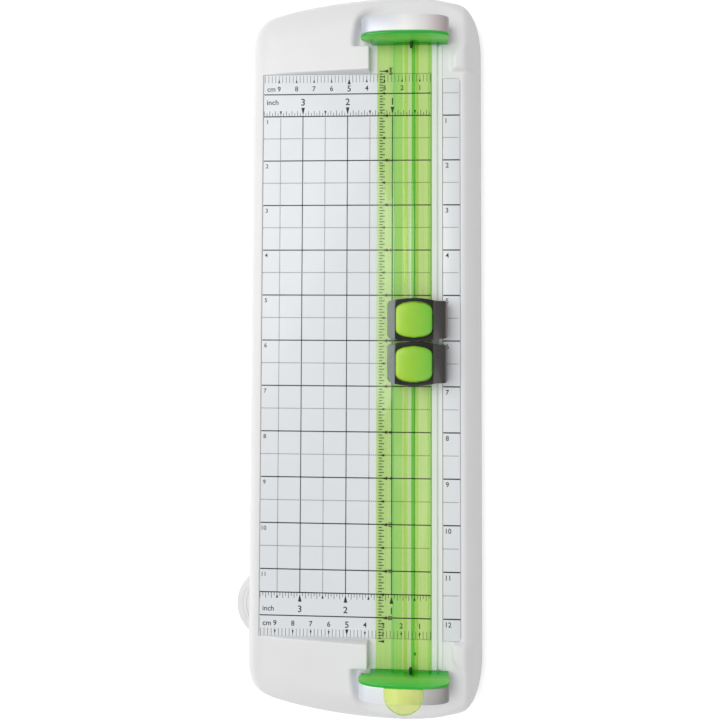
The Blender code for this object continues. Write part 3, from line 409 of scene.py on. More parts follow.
def clean(thing):
    bm = bmesh.new()
    bm.from_mesh(thing.data)
    bmesh.ops.remove_doubles(bm, verts=bm.verts, dist=0.0005 * MM)
    bmesh.ops.recalc_face_normals(bm, faces=bm.faces)
    bm.to_mesh(thing.data)
    bm.free()


def prism(name, points, start, end, plane="XY", indices=None):
    """A closed prism. Indices, if given, are its side faces' materials and then those of its two caps."""
    turn = PLANES[plane]
    count = len(points)
    vertices = [turn(a, b, start) for a, b in points] + [turn(a, b, end) for a, b in points]
    faces = [(i, (i + 1) % count, (i + 1) % count + count, i + count) for i in range(count)]
    faces += [tuple(range(count))[::-1], tuple(range(count, 2 * count))]
    return make_mesh(name, vertices, faces, indices)


def block(name, low, high):
    points = [(low[0], low[1]), (high[0], low[1]), (high[0], high[1]), (low[0], high[1])]
    return prism(name, points, low[2], high[2])


def rod(name, centre, radius, length, plane, segments=32):
    """A round bar along the plane's normal."""
    a, b, middle = {"XY": (0, 1, 2), "XZ": (0, 2, 1), "YZ": (1, 2, 0)}[plane]
    angles = [2 * pi * i / segments for i in range(segments)]
    points = [(centre[a] + radius * cos(t), centre[b] + radius * sin(t)) for t in angles]
    return prism(name, points, centre[middle] - length / 2, centre[middle] + length / 2, plane)


def apply_modifiers(thing):
    graph = bpy.context.evaluated_depsgraph_get()
    mesh = bpy.data.meshes.new_from_object(thing.evaluated_get(graph))
    thing.modifiers.clear()
    thing.data = mesh
    return thing


def combine(thing, tool, operation="DIFFERENCE"):
    """An exact Boolean. The tool is used up."""
    change = thing.modifiers.new("combine", "BOOLEAN")
    change.object = tool
    change.operation = operation
    change.solver = "EXACT"
    apply_modifiers(thing)
    bpy.data.objects.remove(tool)
    return thing


def soften(thing, width, segments=3, angle=30.0):
    bevel = thing.modifiers.new("soften", "BEVEL")
    bevel.width = width * MM
    bevel.segments = segments
    bevel.limit_method = "ANGLE"
    bevel.angle_limit = radians(angle)
    return apply_modifiers(thing)


def paint(thing, surfaces):
    """Gives a mesh its materials and keeps each face's choice among them."""
    mesh = thing.data
    chosen = [min(face.material_index, len(surfaces) - 1) for face in mesh.polygons]
    mesh.materials.clear()
    for surface in surfaces:
        mesh.materials.append(MATERIALS[surface])
    mesh.polygons.foreach_set("material_index", chosen)


def dress(thing, body, surfaces, replaces=(), sharp=40.0):
    """Gives a finished mesh its materials and shading, and hangs it on its CAD body."""
    paint(thing, surfaces)
    thing.data.shade_smooth()
    thing.data.set_sharp_from_angle(angle=radians(sharp))
    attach(thing, body)
    if replaces:
        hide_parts(*replaces)


def bezier(start, control_1, control_2, end, count):
    """Points along a cubic curve, without its last point."""
    points = []
    for i in range(count):
        t = i / count
        s = 1 - t
        weights = (s * s * s, 3 * s * s * t, 3 * s * t * t, t * t * t)
        corners = (start, control_1, control_2, end)
        points.append(tuple(sum(w * c[k] for w, c in zip(weights, corners)) for k in (0, 1)))
    return points


def arc(centre, radius, start, end, count):
    """Points on a circle, angles in degrees, both ends included."""
    angles = [radians(start + (end - start) * i / (count - 1)) for i in range(count)]
    return [(centre[0] + radius * cos(a), centre[1] + radius * sin(a)) for a in angles]


# ---- base

def rear_branches():
    """The outline's rear half as two curves that meet at the middle of the end: right side, left side."""
    left, right, top = BASE_LOW.x, BASE_HIGH.x, BASE_HIGH.y
    middle = (25.0, top)
    shoulder = (-46.5, top - 9.3)
    corner = (left, top - 30.9)
    right_branch = [(right, 0.0)] + bezier((right, 168.0), (right, 199.0), (52.0, 202.6), middle, 40)
    left_branch = bezier(middle, (-5.0, 202.6), (-30.0, 198.3), shoulder, 24)
    left_branch += bezier(shoulder, (-57.5, top - 12.4), (left, top - 18.9), corner, 24)
    return right_branch + [middle], left_branch + [corner, (left, 0.0)]


def base_outline():
    right_branch, left_branch = rear_branches()
    half = right_branch + left_branch[1:]
    return half + [(x, -y) for x, y in half[::-1][1:-1]]


def polygon_distance(polygon, x, y):
    """The distance from each point to a closed polygon's edge."""
    best = np.full(x.shape, 1e9)
    for (ax, ay), (bx, by) in zip(polygon, polygon[1:] + polygon[:1]):
        dx, dy = bx - ax, by - ay
        length = dx * dx + dy * dy
        if length == 0:
            continue
        share = np.clip(((x - ax) * dx + (y - ay) * dy) / length, 0, 1)
        best = np.minimum(best, np.hypot(x - ax - share * dx, y - ay - share * dy))
    return best


def polygon_inside(polygon, x, y):
    inside = np.zeros(x.shape, bool)
    for (ax, ay), (bx, by) in zip(polygon, polygon[1:] + polygon[:1]):
        if ay == by:
            continue
        crosses = (ay > y) != (by > y)
        inside ^= crosses & (x < (bx - ax) * (y - ay) / (by - ay) + ax)
    return inside


def rounded_rise(share):
    """0 to 1 along a quarter circle: upright at its foot and level at its top."""
    share = np.clip(share, 0, 1)
    return np.sqrt(1 - (1 - share) ** 2)


def smooth_rise(share):
    share = np.clip(share, 0, 1)
    return share * share * (3 - 2 * share)


def fade(x, stretch):
    """0 to 1, smoothly, from a stretch's start over its length."""
    start, length = stretch
    return smooth_rise((x - start) / length)


def hood_pocket():
    """The scooped area that the hood stands in, in plan."""
    rear = BASE_HIGH.y
    near = FENCE_Y + BLOCK_LENGTH
    back, side = (21.0, rear - 9.5), (50.9, 184.0)
    points = bezier((0.6, near), (0.6, 190.0), (5.0, 192.0), back, 16)
    points += bezier(back, (36.0, rear - 8.5), (side[0], 194.0), side, 16)
    return points + [side, (side[0], near - 20.0), (6.5, near - 20.0), (6.5, near)]


def base_height(x, y):
    """The height of the base's top at each point of the plan."""
    depth = polygon_distance(base_outline(), x, y)
    along = np.abs(y)
    pocket = hood_pocket()
    beside = polygon_distance(pocket, x, along)
    beside = np.where(polygon_inside(pocket, x, along), 0.0, beside)
    slope = np.clip((x - SLOPE_START) / (BASE_HIGH.x - SLOPE_START), 0, 1)
    rim = RIM_DROP * np.clip(1 - depth / RIM_ROUND, 0, 1) ** 2.2 * (1 - fade(x, RIM_FADE))
    share = np.clip((x - BLOCK_LEFT) / (BLOCK_RIGHT - BLOCK_LEFT), 0, 1)
    fence = rounded_rise((along - FENCE_Y) / BLOCK_EDGE)
    soft_fence = smooth_rise((along - FENCE_Y) / RIGHT_BLOCK_EDGE)
    behind = along > FENCE_Y + BLOCK_LENGTH
    left_edge = np.where(behind, 1 - fade(x, BLOCK_FADE), rounded_rise((BLOCK_RIGHT - x) / BLOCK_EDGE))
    scoop = np.where(behind, smooth_rise(beside / SCOOP_WIDTH), rounded_rise(beside))
    left = BLOCK_HEIGHT * share * fence * left_edge * scoop * smooth_rise(depth / END_FADE)
    reach = RIGHT_BLOCK_EDGE + RIGHT_RAMP * smooth_rise((along - FENCE_Y - 8.0) / 14.0)
    right_edge = fade(x, RIGHT_FADE) * smooth_rise(beside / reach)
    right = RIGHT_BLOCK_HEIGHT * soft_fence * right_edge * smooth_rise(depth / RIGHT_END_FADE)
    return BED_Z - rim - SLOPE_DROP * slope ** 1.3 + left + right


def grid_lines(low, high, step, fine):
    """Evenly spaced lines, with extra ones where an edge needs them."""
    count = int(round((high - low) / step))
    lines = set(round(low + (high - low) * i / count, 3) for i in range(count + 1))
    for start, direction in fine:
        for offset in (0.0, 0.04, 0.14, 0.32, 0.6, 0.85, 1.1):
            lines.add(round(start + direction * offset, 3))
    return sorted(min(max(line, low), high) for line in lines if low - 0.01 < line < high + 0.01)


def base_top():
    """The base's solid with its moulded top, as yet without its hollow and its pockets."""
    columns = grid_lines(BASE_LOW.x, BASE_HIGH.x, 1.0, ((BLOCK_RIGHT, -1), (RIGHT_BLOCK_LEFT, 1)))
    ends = grid_lines(150.0, BASE_HIGH.y, 0.9, ((FENCE_Y, 1),))
    middle = [float(y) for y in range(-145, 146, 10)]
    rows = [-y for y in ends[::-1]] + middle + ends
    right_branch, left_branch = rear_branches()
    along = np.abs(np.array(rows))
    right_x = np.interp(along, [p[1] for p in right_branch], [p[0] for p in right_branch])
    left_x = np.interp(along, [p[1] for p in left_branch[::-1]], [p[0] for p in left_branch[::-1]])
    x = np.clip(np.array(columns)[None, :], left_x[:, None], right_x[:, None])
    y = np.repeat(np.array(rows)[:, None], len(columns), axis=1)
    z = base_height(x, y)
    vertices = np.stack([x, y, z], axis=-1).reshape(-1, 3).tolist()
    width = len(columns)
    corners = [j * width + i for j in range(len(rows) - 1) for i in range(width - 1)]
    faces = [(c, c + 1, c + 1 + width, c + width) for c in corners]
    return close_downwards(make_mesh("base_shell", vertices, faces))


def close_downwards(thing):
    """Turns an open top into a solid with upright sides and a flat bottom."""
    bm = bmesh.new()
    bm.from_mesh(thing.data)
    bmesh.ops.remove_doubles(bm, verts=bm.verts, dist=0.01 * MM)
    for level in (RIM_BAND, None):
        rim = [e for e in bm.edges if e.is_boundary]
        made = bmesh.ops.extrude_edge_only(bm, edges=rim)["geom"]
        for vertex in (g for g in made if isinstance(g, bmesh.types.BMVert)):
            vertex.co.z = BASE_LOW.z * MM if level is None else vertex.co.z - level * MM
    bmesh.ops.contextual_create(bm, geom=[e for e in bm.edges if e.is_boundary])
    bmesh.ops.recalc_face_normals(bm, faces=bm.faces)
    bm.to_mesh(thing.data)
    bm.free()
    return thing


def underside():
    """The space inside the base: a slab under the deck, less the CAD base's own walls, ribs and bosses.

    The slab is lower under the side slope, so that it stays below the slope's surface.
    """
    middle = (BASE_LOW.x + BASE_HIGH.x) / 2
    width = 1 - BASE_WALL / (BASE_HIGH.x - middle)
    length = 1 - BASE_WALL / BASE_HIGH.y
    points = [(middle + (x - middle) * width, y * length) for x, y in base_outline()]
    below = BASE_LOW.z - 3.0
    slab = prism("slab", [(min(x, SLOPE_START + 3.0), y) for x, y in points], below, SKIRT_Z)
    combine(slab, prism("slab_low", points, below, SKIRT_Z - 5.0), "UNION")
    copy = place("base_copy", frame["nodes"]["base_body"].data.copy())
    clean(copy)
    combine(slab, copy)
    low = (BASE_LOW.x - 2.0, ARM_LOW.y - 3.0, below)
    slot = block("skirt_slot", low, (BASE_LOW.x + 1.6, ARM_HIGH.y + 4.4, ARM_HIGH.z + 0.5))
    return combine(slab, slot, "UNION")


def rounded_right(low, high, radius):
    """A rectangle whose two right corners are round."""
    points = [(low[0], high[1]), (low[0], low[1])]
    points += arc((high[0] - radius, low[1] + radius), radius, 270, 360, 7)
    points += arc((high[0] - radius, high[1] - radius), radius, 0, 90, 7)
    return points


def build_base():
    shell = base_top()
    combine(shell, underside())
    above = BED_Z + 12.0
    low = (BED_LOW.x - GAP, BED_LOW.y - GAP, PLATE_FLOOR)
    combine(shell, block("bed_pocket", low, (STRIP_LOW.x + 0.5, BED_HIGH.y + GAP, above)))
    low = (STRIP_LOW.x - 0.15, STRIP_LOW.y - GAP, CHANNEL_FLOOR)
    combine(shell, block("channel", low, (STRIP_HIGH.x + 0.15, STRIP_HIGH.y + GAP, above)))
    corners = ((SIDE_LOW.x - 0.5, SIDE_LOW.y - GAP), (SIDE_HIGH.x + GAP, SIDE_HIGH.y + GAP))
    combine(shell, prism("side_pocket", rounded_right(*corners, 1.9), PLATE_FLOOR, above))
    foot = BED_Z - 1.0
    lug = [(PIN_CENTRE.y - LUG_RADIUS, foot), (PIN_CENTRE.y + LUG_RADIUS, foot)]
    lug += arc((PIN_CENTRE.y, PIN_CENTRE.z), LUG_RADIUS, 0, 180, 25)
    for offset in (-LUG_OFFSET, LUG_OFFSET):
        start = ARCH_X + offset - LUG_WIDTH / 2
        combine(shell, prism("lug", lug, start, start + LUG_WIDTH, "YZ"), "UNION")
    combine(shell, rod("lug_bore", PIN_CENTRE, PIN_BORE, 36.0, "YZ"))
    dress(shell, "base", ["white_abs"], ["base_body"])


def build_side_plate():
    points = rounded_right((SIDE_LOW.x, SIDE_LOW.y), (SIDE_HIGH.x, SIDE_HIGH.y), 1.6)
    plate = prism("side_plate", points, SIDE_LOW.z, SIDE_HIGH.z)
    soften(plate, 0.15, 2, 40)
    dress(plate, "base", ["bed_print"], ["side_scale_plate"])


# ---- print

class Marks:
    """Thin closed shapes of ink on one face, gathered into one mesh."""

    def __init__(self, low, high):
        self.low, self.high = low, high
        self.vertices, self.faces = [], []

    def shape(self, points):
        first, count = len(self.vertices), len(points)
        for level in (self.low, self.high):
            self.vertices += [(x, y, level) for x, y in points]
        self.faces.append(tuple(first + i for i in range(count))[::-1])
        self.faces.append(tuple(first + count + i for i in range(count)))
        for i in range(count):
            j = (i + 1) % count
            self.faces.append((first + i, first + j, first + j + count, first + i + count))

    def bar(self, x0, y0, x1, y1):
        x0, x1, y0, y1 = min(x0, x1), max(x0, x1), min(y0, y1), max(y0, y1)
        self.shape([(x0, y0), (x1, y0), (x1, y1), (x0, y1)])

    def row(self, y, x0, x1, width):
        self.bar(x0, y - width / 2, x1, y + width / 2)

    def column(self, x, y0, y1, width):
        self.bar(x - width / 2, y0, x + width / 2, y1)

    def dotted_row(self, y, x0, x1, width, pitch=1.1):
        for i in range(int((x1 - x0) / pitch)):
            self.row(y, x0 + i * pitch, x0 + (i + 0.5) * pitch, width)

    def dotted_column(self, x, y0, y1, width, pitch=1.1):
        for i in range(int((y1 - y0) / pitch)):
            self.column(x, y0 + i * pitch, y0 + (i + 0.5) * pitch, width)

    def pointer(self, tip, base, width):
        """A triangle from its tip to the middle of its base, upright or lying."""
        dx, dy = (width / 2, 0) if tip[0] == base[0] else (0, width / 2)
        self.shape([tip, (base[0] - dx, base[1] - dy), (base[0] + dx, base[1] + dy)])

    def words(self, text, x, y, height, turned=False, centred=False):
        """Text whose baseline starts at a point, or is centred there. Turned text reads towards -Y."""
        points, faces, length, _ = glyphs(text)
        first = len(self.vertices)
        thickness = self.high - self.low
        for a, b, c in points:
            along = (a - (length / 2 if centred else 0.0)) * height
            up = b * height
            level = self.low + (c + 0.5) * thickness
            self.vertices.append((x + up, y - along, level) if turned else (x + along, y + up, level))
        self.faces += [tuple(first + i for i in face) for face in faces]

    def build(self, name, body, surface):
        dress(make_mesh(name, self.vertices, self.faces), body, [surface])


GLYPHS = {}


def glyphs(text):
    """A word as a closed mesh: its points where a digit is 1 high, its faces, length and unscaled points."""
    if text not in GLYPHS:
        curve = bpy.data.curves.new(text, "FONT")
        curve.body = text
        curve.extrude = 0.5
        curve.offset = 0.012
        curve.resolution_u = 3
        thing = place(text, curve)
        bpy.context.view_layer.update()
        mesh = bpy.data.meshes.new_from_object(thing.evaluated_get(bpy.context.evaluated_depsgraph_get()))
        bpy.data.objects.remove(thing)
        points = [tuple(v.co) for v in mesh.vertices]
        GLYPHS[text] = (points, [tuple(p.vertices) for p in mesh.polygons])
    points, faces = GLYPHS[text]
    digit = max(p[1] for p in (points if text == "1" else glyphs("1")[3]))
    left = min(p[0] for p in points)
    scaled = [((a - left) / digit, b / digit, c) for a, b, c in points]
    return scaled, faces, max(p[0] for p in scaled), points


def row_y(number):
    return ROW_ZERO - number * INCH


def inch_x(number):
    return CUT_X - number * INCH


def cm_x(number):
    return CUT_X - number * CM


def grid_print(black, grey, light):
    top, bottom = row_y(1), row_y(11.5)
    for number in [0.5] + list(range(1, 12)) + [11.5, 12]:
        black.row(row_y(number), PRINT_LEFT, PRINT_RIGHT, 0.62)
    for number in range(1, 11):
        grey.dotted_row(row_y(number + 0.5), PRINT_LEFT, PRINT_RIGHT, 0.5)
    for number in (1, 2, 3):
        black.column(inch_x(number), bottom, top, 0.52)
    for number in (0.5, 1.5, 2.5, 3.5):
        light.dotted_column(inch_x(number), bottom, top, 0.48)
    for number in range(1, 12):
        black.words(str(number), -52.4, row_y(number) - 1.8 - 2.3, 2.3, centred=True)


def inch_ruler(black, side, line, numerals, height):
    """Sixteenth-inch ticks, pointers and numerals on the outer side of a line."""
    for step in range(3, int((CUT_X - PRINT_LEFT) / INCH * 16) + 1):
        length = 2.0 if step % 2 else 3.2
        black.column(inch_x(step / 16), line, line + side * length, 0.28)
    for half in range(1, 8):
        length, width = (5.05, 2.0) if half % 2 == 0 else (3.15, 1.2)
        x = inch_x(half / 2)
        black.pointer((x, line + side * 0.7), (x, line + side * length), width)
    for number in (1, 2, 3):
        black.words(str(number), inch_x(number), numerals, height, centred=True)
    black.words("inch", PRINT_LEFT + 1.6, numerals + 0.5, height * 0.77)


def cm_ruler(black, grey, side, edge, tip, numerals):
    """Two-millimetre ticks at the bed's end, with a pointer and a numeral at each centimetre."""
    for step in range(2, int((CUT_X - PRINT_LEFT) / 2) + 1):
        grey.column(CUT_X - step * 2.0, edge, edge - side * 4.0, 0.25)
    for number in range(1, 10):
        large = number == 5
        length, width = (3.3, 1.8) if large else (2.2, 1.1)
        black.pointer((cm_x(number), tip), (cm_x(number), tip - side * length), width)
        baseline = numerals - (0.4 if large else 0.0)
        black.words(str(number), cm_x(number), baseline, 3.4 if large else 2.8, centred=True)
    black.words("cm", PRINT_LEFT + 1.7, numerals, 2.8)


def build_bed_print():
    black, grey, light = (Marks(BED_Z - 0.01, BED_Z + INK) for _ in range(3))
    grid_print(black, grey, light)
    inch_ruler(black, 1, row_y(1), 139.7, 3.8)
    inch_ruler(black, -1, row_y(11.5), -144.1, 3.6)
    cm_ruler(black, grey, 1, BED_HIGH.y - 0.6, 154.9, 147.9)
    cm_ruler(black, grey, -1, BED_LOW.y + 0.2, -156.2, -151.6)
    black.build("bed_marks_black", "base", "ink_black")
    grey.build("bed_marks_grey", "base", "ink_dark")
    light.build("bed_marks_light", "base", "ink_dark")


def build_side_print():
    black, grey = (Marks(BED_Z - 0.01, BED_Z + INK) for _ in range(2))
    left, right = SIDE_LOW.x + 0.1, SIDE_HIGH.x - 0.1
    for number in range(1, 13):
        black.row(row_y(number), left, right, 0.7)
        black.words(str(number), left + 1.4, row_y(number) - 1.7 - 2.65, 2.65)
    for number in range(12):
        grey.dotted_row(row_y(number + 0.5), left, right, 0.45)
    black.build("side_marks_black", "base", "ink_black")
    grey.build("side_marks_grey", "base", "ink_dark")


def build_rail_print():
    """The cut-length scale, on the underside of the rail's flange."""
    black, grey = (Marks(RAIL_LOW.z - 0.06, RAIL_LOW.z - 0.01) for _ in range(2))
    left = RAIL_LOW.x
    for step in range(int(12.5 * 16) + 1):
        reach = 3.1 if step % 2 else 4.3
        grey.row(row_y(step / 16), left + 1.3, left + reach, 0.42)
    for half in range(26):
        tip, base, width = (2.9, 6.1, 1.7) if half % 2 == 0 else (1.9, 4.5, 1.4)
        y = row_y(half / 2)
        black.pointer((left + tip, y), (left + base, y), width)
    for number in range(1, 13):
        black.words(str(number), left + 6.9, row_y(number), 2.0, turned=True, centred=True)
    black.words("inch", left + 6.9, row_y(0), 1.8, turned=True, centred=True)
    black.build("rail_marks_black", "lifting_rail", "ink_black")
    grey.build("rail_marks_grey", "lifting_rail", "ink_dark")


# ---- rail

def rail_section():
    """The rail's section, clockwise from the flange's left edge.

    Each point is (x, z, surface of the face that starts there).
    """
    left, right, foot, deck, top = RAIL_LOW.x, RAIL_HIGH.x, RAIL_LOW.z, DECK_TOP, TRACK_TOP
    inner_top = deck - DECK_WALL
    lip = top - TRACK_LIP
    track_left, track_right = TRACK_MIDDLE - TRACK_HALF, TRACK_MIDDLE + TRACK_HALF
    neck_left, neck_right = TRACK_MIDDLE - NECK_HALF, TRACK_MIDDLE + NECK_HALF
    # The light surfaces carry painted light, and the wall and deep surfaces carry painted shade.
    return [
        (left, foot, "body"),
        (left, FLANGE_TOP, "flange"),
        (RAIL_STEP, FLANGE_TOP, "wall"),
        (RAIL_STEP, deck, "wall"),
        (RAIL_STEP + 1.3, deck, "body"),
        (track_left - 0.9, deck, "light"),
        (neck_left, deck, "body"),
        (neck_left, lip, "under"),
        (track_left, lip - 0.1, "wall"),
        (track_left, top, "slot"),
        (SLOT_LEFT, top, "mid"),
        (SLOT_LEFT, top - SLOT_DEPTH, "slot"),
        (SLOT_RIGHT, top - SLOT_DEPTH, "deep"),
        (SLOT_RIGHT, top, "deep"),
        (neck_right, top, "mid"),
        (track_right, top, "wall"),
        (track_right, lip - 0.1, "under"),
        (neck_right, lip, "body"),
        (neck_right, deck, "light"),
        (right - DECK_WALL, deck, "body"),
        (right, deck, "body"),
        (right, foot, "under"),
        (right - DECK_WALL, foot, "body"),
        (right - DECK_WALL, inner_top, "under"),
        (RAIL_STEP + 1.0, inner_top, "body"),
        (RAIL_STEP + 1.0, foot, "under"),
    ]


def build_rail():
    section = rail_section()
    faces = [surface for _, _, surface in section] + ["under"] * 2
    indices = [RAIL_SURFACES.index(f"rail_{surface}") for surface in faces]
    ends = (RAIL_LOW.y - GAP, RAIL_HIGH.y + GAP)
    rail = prism("rail_clear", [(x, z) for x, z, _ in section], *ends, "XZ", indices)
    paint(rail, RAIL_SURFACES)
    soften(rail, 0.16, 2, 50)
    dress(rail, "lifting_rail", RAIL_SURFACES, ["rail"], 50)
    rail.visible_shadow = False
    nub = rod("rail_stop", (31.3, -161.4, TRACK_TOP + 0.25), 0.75, 0.9, "XY")
    soften(nub, 0.15, 2, 40)
    dress(nub, "lifting_rail", ["rail_deep"])


# ---- end plates and hoods

def arch(half_width, side_z, crown_z, bottom):
    """A flat-bottomed arch from its bottom left corner."""
    points = [(ARCH_X - half_width, bottom), (ARCH_X + half_width, bottom)]
    for i in range(ARCH_POINTS + 1):
        angle = pi * i / ARCH_POINTS
        across = abs(cos(angle)) ** (2 / ARCH_POWER)
        up = abs(sin(angle)) ** (2 / ARCH_POWER)
        reach = half_width * across if angle < pi / 2 else -half_width * across
        points.append((ARCH_X + reach, side_z + (crown_z - side_z) * up))
    return points


PLATE_SURFACES = ["deep_green", "plate_face"]
TAB_SURFACES = ["tab_lime", "tab_edge"]


def end_plate(name, side):
    """An arched plate whose lower left corner is cut away beside the base's block."""
    half_width = (PLATE_HIGH.x - PLATE_LOW.x) / 2
    crown = PLATE_HIGH.z if side > 0 else FRONT_HIGH.z
    near = PLATE_LOW.y if side > 0 else -PLATE_LOW.y
    points = arch(half_width, PLATE_SIDE_Z, crown, RAIL_LOW.z)
    left = ARCH_X - half_width
    step_z = BED_Z + 4.8
    cut = [(left, PLATE_SIDE_Z - 1.2), (left + 2.6, step_z), (PLATE_STEP_X, step_z)]
    points[0:1] = cut + [(PLATE_STEP_X, RAIL_LOW.z)]
    indices = [0] * len(points) + [1, 1]
    plate = prism(name, points, near, near + side * PLATE_THICKNESS, "XZ", indices)
    paint(plate, PLATE_SURFACES)
    return soften(plate, 0.35, 3, 25)


def build_rear_plate():
    plate = end_plate("rear_plate", 1)
    centre_y, centre_z = PIN_CENTRE.y, PIN_CENTRE.z
    root = PLATE_LOW.y + 0.8
    round_end = arc((centre_y, centre_z), EAR_RADIUS, -60, 90, 21)
    outline = [(root, centre_z - 3.8)] + round_end + [(root, centre_z + EAR_RADIUS)]
    for offset in (-EAR_OFFSET, EAR_OFFSET):
        start = ARCH_X + offset - EAR_WIDTH / 2
        combine(plate, prism("ear", outline, start, start + EAR_WIDTH, "YZ"), "UNION")
    combine(plate, rod("ear_bore", PIN_CENTRE, PIN_BORE, 26.0, "YZ"))
    add_pointer(plate, 1)
    dress(plate, "lifting_rail", PLATE_SURFACES, ["rear_end_plate"], 35)


def add_pointer(plate, side):
    """The small V over the cutting line, at the foot of the plate's inner face."""
    root = side * (PLATE_LOW.y + 0.4)
    points = [(CUT_X - 0.9, root), (CUT_X + 0.9, root), (CUT_X, side * (PLATE_LOW.y - 0.9))]
    combine(plate, prism("pointer", points, RAIL_LOW.z, RAIL_LOW.z + 2.4), "UNION")


def build_front_plate():
    plate = end_plate("front_plate", -1)
    add_pointer(plate, -1)
    top = FRONT_HIGH.z
    centre_y = FRONT_LOW.y + TAB_RADIUS
    root = -(PLATE_LOW.y + PLATE_THICKNESS)
    outline = [(TAB_X + TAB_RADIUS, root), (TAB_X - TAB_RADIUS, root)]
    outline += arc((TAB_X, centre_y), TAB_RADIUS, 180, 360, 41)
    sides = [1] * len(outline)
    tab = prism("lift_tab", outline, top - TAB_THICKNESS, top, "XY", sides + [0, 0])
    paint(tab, TAB_SURFACES)
    soften(tab, 0.3, 3, 40)
    dress(plate, "lifting_rail", PLATE_SURFACES, ["front_end_plate"], 35)
    tab.visible_shadow = False
    dress(tab, "lifting_rail", TAB_SURFACES, sharp=35)


def hood_shell(name, node, side):
    """An arched cover, open towards the rail and closed at its outer end."""
    low, high = span(node)
    half_width = (high.x - low.x) / 2
    near, far = sorted((low.y, high.y), key=abs)
    shell = prism(name, arch(half_width, HOOD_SIDE_Z, high.z, low.z), near, far, "XZ")
    soften(shell, 0.6, 4, 50)
    inner = arch(half_width - HOOD_WALL, HOOD_SIDE_Z, high.z - HOOD_WALL, low.z - 2.0)
    return combine(shell, prism("inside", inner, near - side * 2.0, far - side * HOOD_WALL, "XZ"))


def build_front_hood():
    shell = hood_shell("hood_front", "front_hood", -1)
    for screw in ("hood_screw_1", "hood_screw_2"):
        x, y, _ = middle_of(screw)
        combine(shell, rod("post", (x, y, BED_Z + 3.95), 2.9, 7.3, "XY"), "UNION")
        combine(shell, rod("hole", (x, y, BED_Z + 2.4), 1.5, 6.4, "XY"))
    dress(shell, "base", ["silver_front"], ["front_hood"], 35)


def build_rear_hood():
    """The hood that turns with the rail, cut away beside the base's block, seat and lugs."""
    shell = hood_shell("hood_rear", "rear_hood", 1)
    high = span("rear_hood")[1]
    low, end = BED_Z - 1.0, high.y + 1.0
    beside_block = [(172.9, low), (181.0, low), (181.0, 14.7), (172.9, 19.1)]
    combine(shell, prism("block_relief", beside_block, -1.0, PLATE_STEP_X, "YZ"))
    above_seat = [(SEAT_Y, low), (end, low), (end, 16.9), (SEAT_Y + 2.2, 15.2), (SEAT_Y, 14.5)]
    combine(shell, prism("seat_relief", above_seat, -1.0, 52.0, "YZ"))
    for offset in (-LUG_OFFSET, LUG_OFFSET):
        x, half_width = ARCH_X + offset, LUG_WIDTH / 2 + 0.5
        start = (x - half_width, PIN_CENTRE.y, low)
        combine(shell, block("slot", start, (x + half_width, end, PIN_CENTRE.z + 0.6)))
    dress(shell, "lifting_rail", ["silver"], ["rear_hood"], 35)


# ---- carriages

def button_plan(middle, half_width, half_length, inset=0.0, count=96):
    """A barrel shape centred on y 0: nearly straight at the left and right, and swelling at the ends."""
    points = []
    for i in range(count):
        angle = 2 * pi * i / count
        across, along = cos(angle), sin(angle)
        share = abs(across) ** (2 / BUTTON_POWER)
        x = (half_width - inset) * share
        y = (half_length - inset) * abs(along) ** (2 / BUTTON_POWER) * (1 - BUTTON_BOW * share ** 2)
        points.append((middle + (x if across > 0 else -x), y if along > 0 else -y))
    return points


def housing_plan(left, right, half_length, inset=0.0):
    """Two straight flanks with round corners, and a swell at both ends round the button. Centred on y 0."""
    left, right = left + inset, right - inset
    side, radius = FLANK_HALF - inset, FLANK_CORNER
    middle, reach = SWELL_MIDDLE, SWELL_HALF
    swell = half_length - inset - side
    upper = arc((right - radius, side - radius), radius, 0, 90, 7)
    for i in range(25):
        x = middle + reach * (1 - 2 * i / 24)
        upper.append((x, side + swell * (1 - ((x - middle) / reach) ** 2)))
    upper += arc((left + radius, side - radius), radius, 90, 180, 7)
    return upper + [(x, -y) for x, y in upper[::-1]]


def shifted(points, y):
    return [(a, b + y) for a, b in points]


# The middle is the housing's own charcoal; the flanks carry painted light, a bright painted reflection on
# the left and a dimmer one on the right.
HOUSING_SURFACES = ["charcoal", "flank_painted_reflection", "flank_painted_dim_reflection"]


def housing_section(low, high, bottom):
    """The housing's section across the rail: a rounded left flank, a flat top and a steep right flank."""
    left, right, top = low.x, high.x, high.z
    step, shoulder = RAIL_STEP + 1.0, (right - 7.0, top)
    points = [(left, bottom + 2.0), (step, bottom + 2.0), (step, bottom), (right, bottom)]
    points += bezier((right, BED_Z + 5.0), (right, top - 2.6), (right - 1.0, top - 0.9), shoulder, 12)
    points += [shoulder, (left + 4.6, top)]
    foot = (left, bottom + 3.6)
    return points + bezier((left + 4.2, top), (left + 2.2, top - 0.9), (left + 0.5, top - 5.0), foot, 12)


def split_surfaces(thing, borders):
    """Cuts a mesh's faces at two places along X and gives the three stretches their own materials; on the
    housing the two flanks get painted light.
    """
    bm = bmesh.new()
    bm.from_mesh(thing.data)
    for x in borders:
        geometry = bm.verts[:] + bm.edges[:] + bm.faces[:]
        bmesh.ops.bisect_plane(bm, geom=geometry, plane_co=(x * MM, 0, 0), plane_no=(1, 0, 0))
    for face in bm.faces:
        x = face.calc_center_median().x / MM
        face.material_index = 1 if x < borders[0] else 2 if x > borders[1] else 0
    bm.to_mesh(thing.data)
    bm.free()


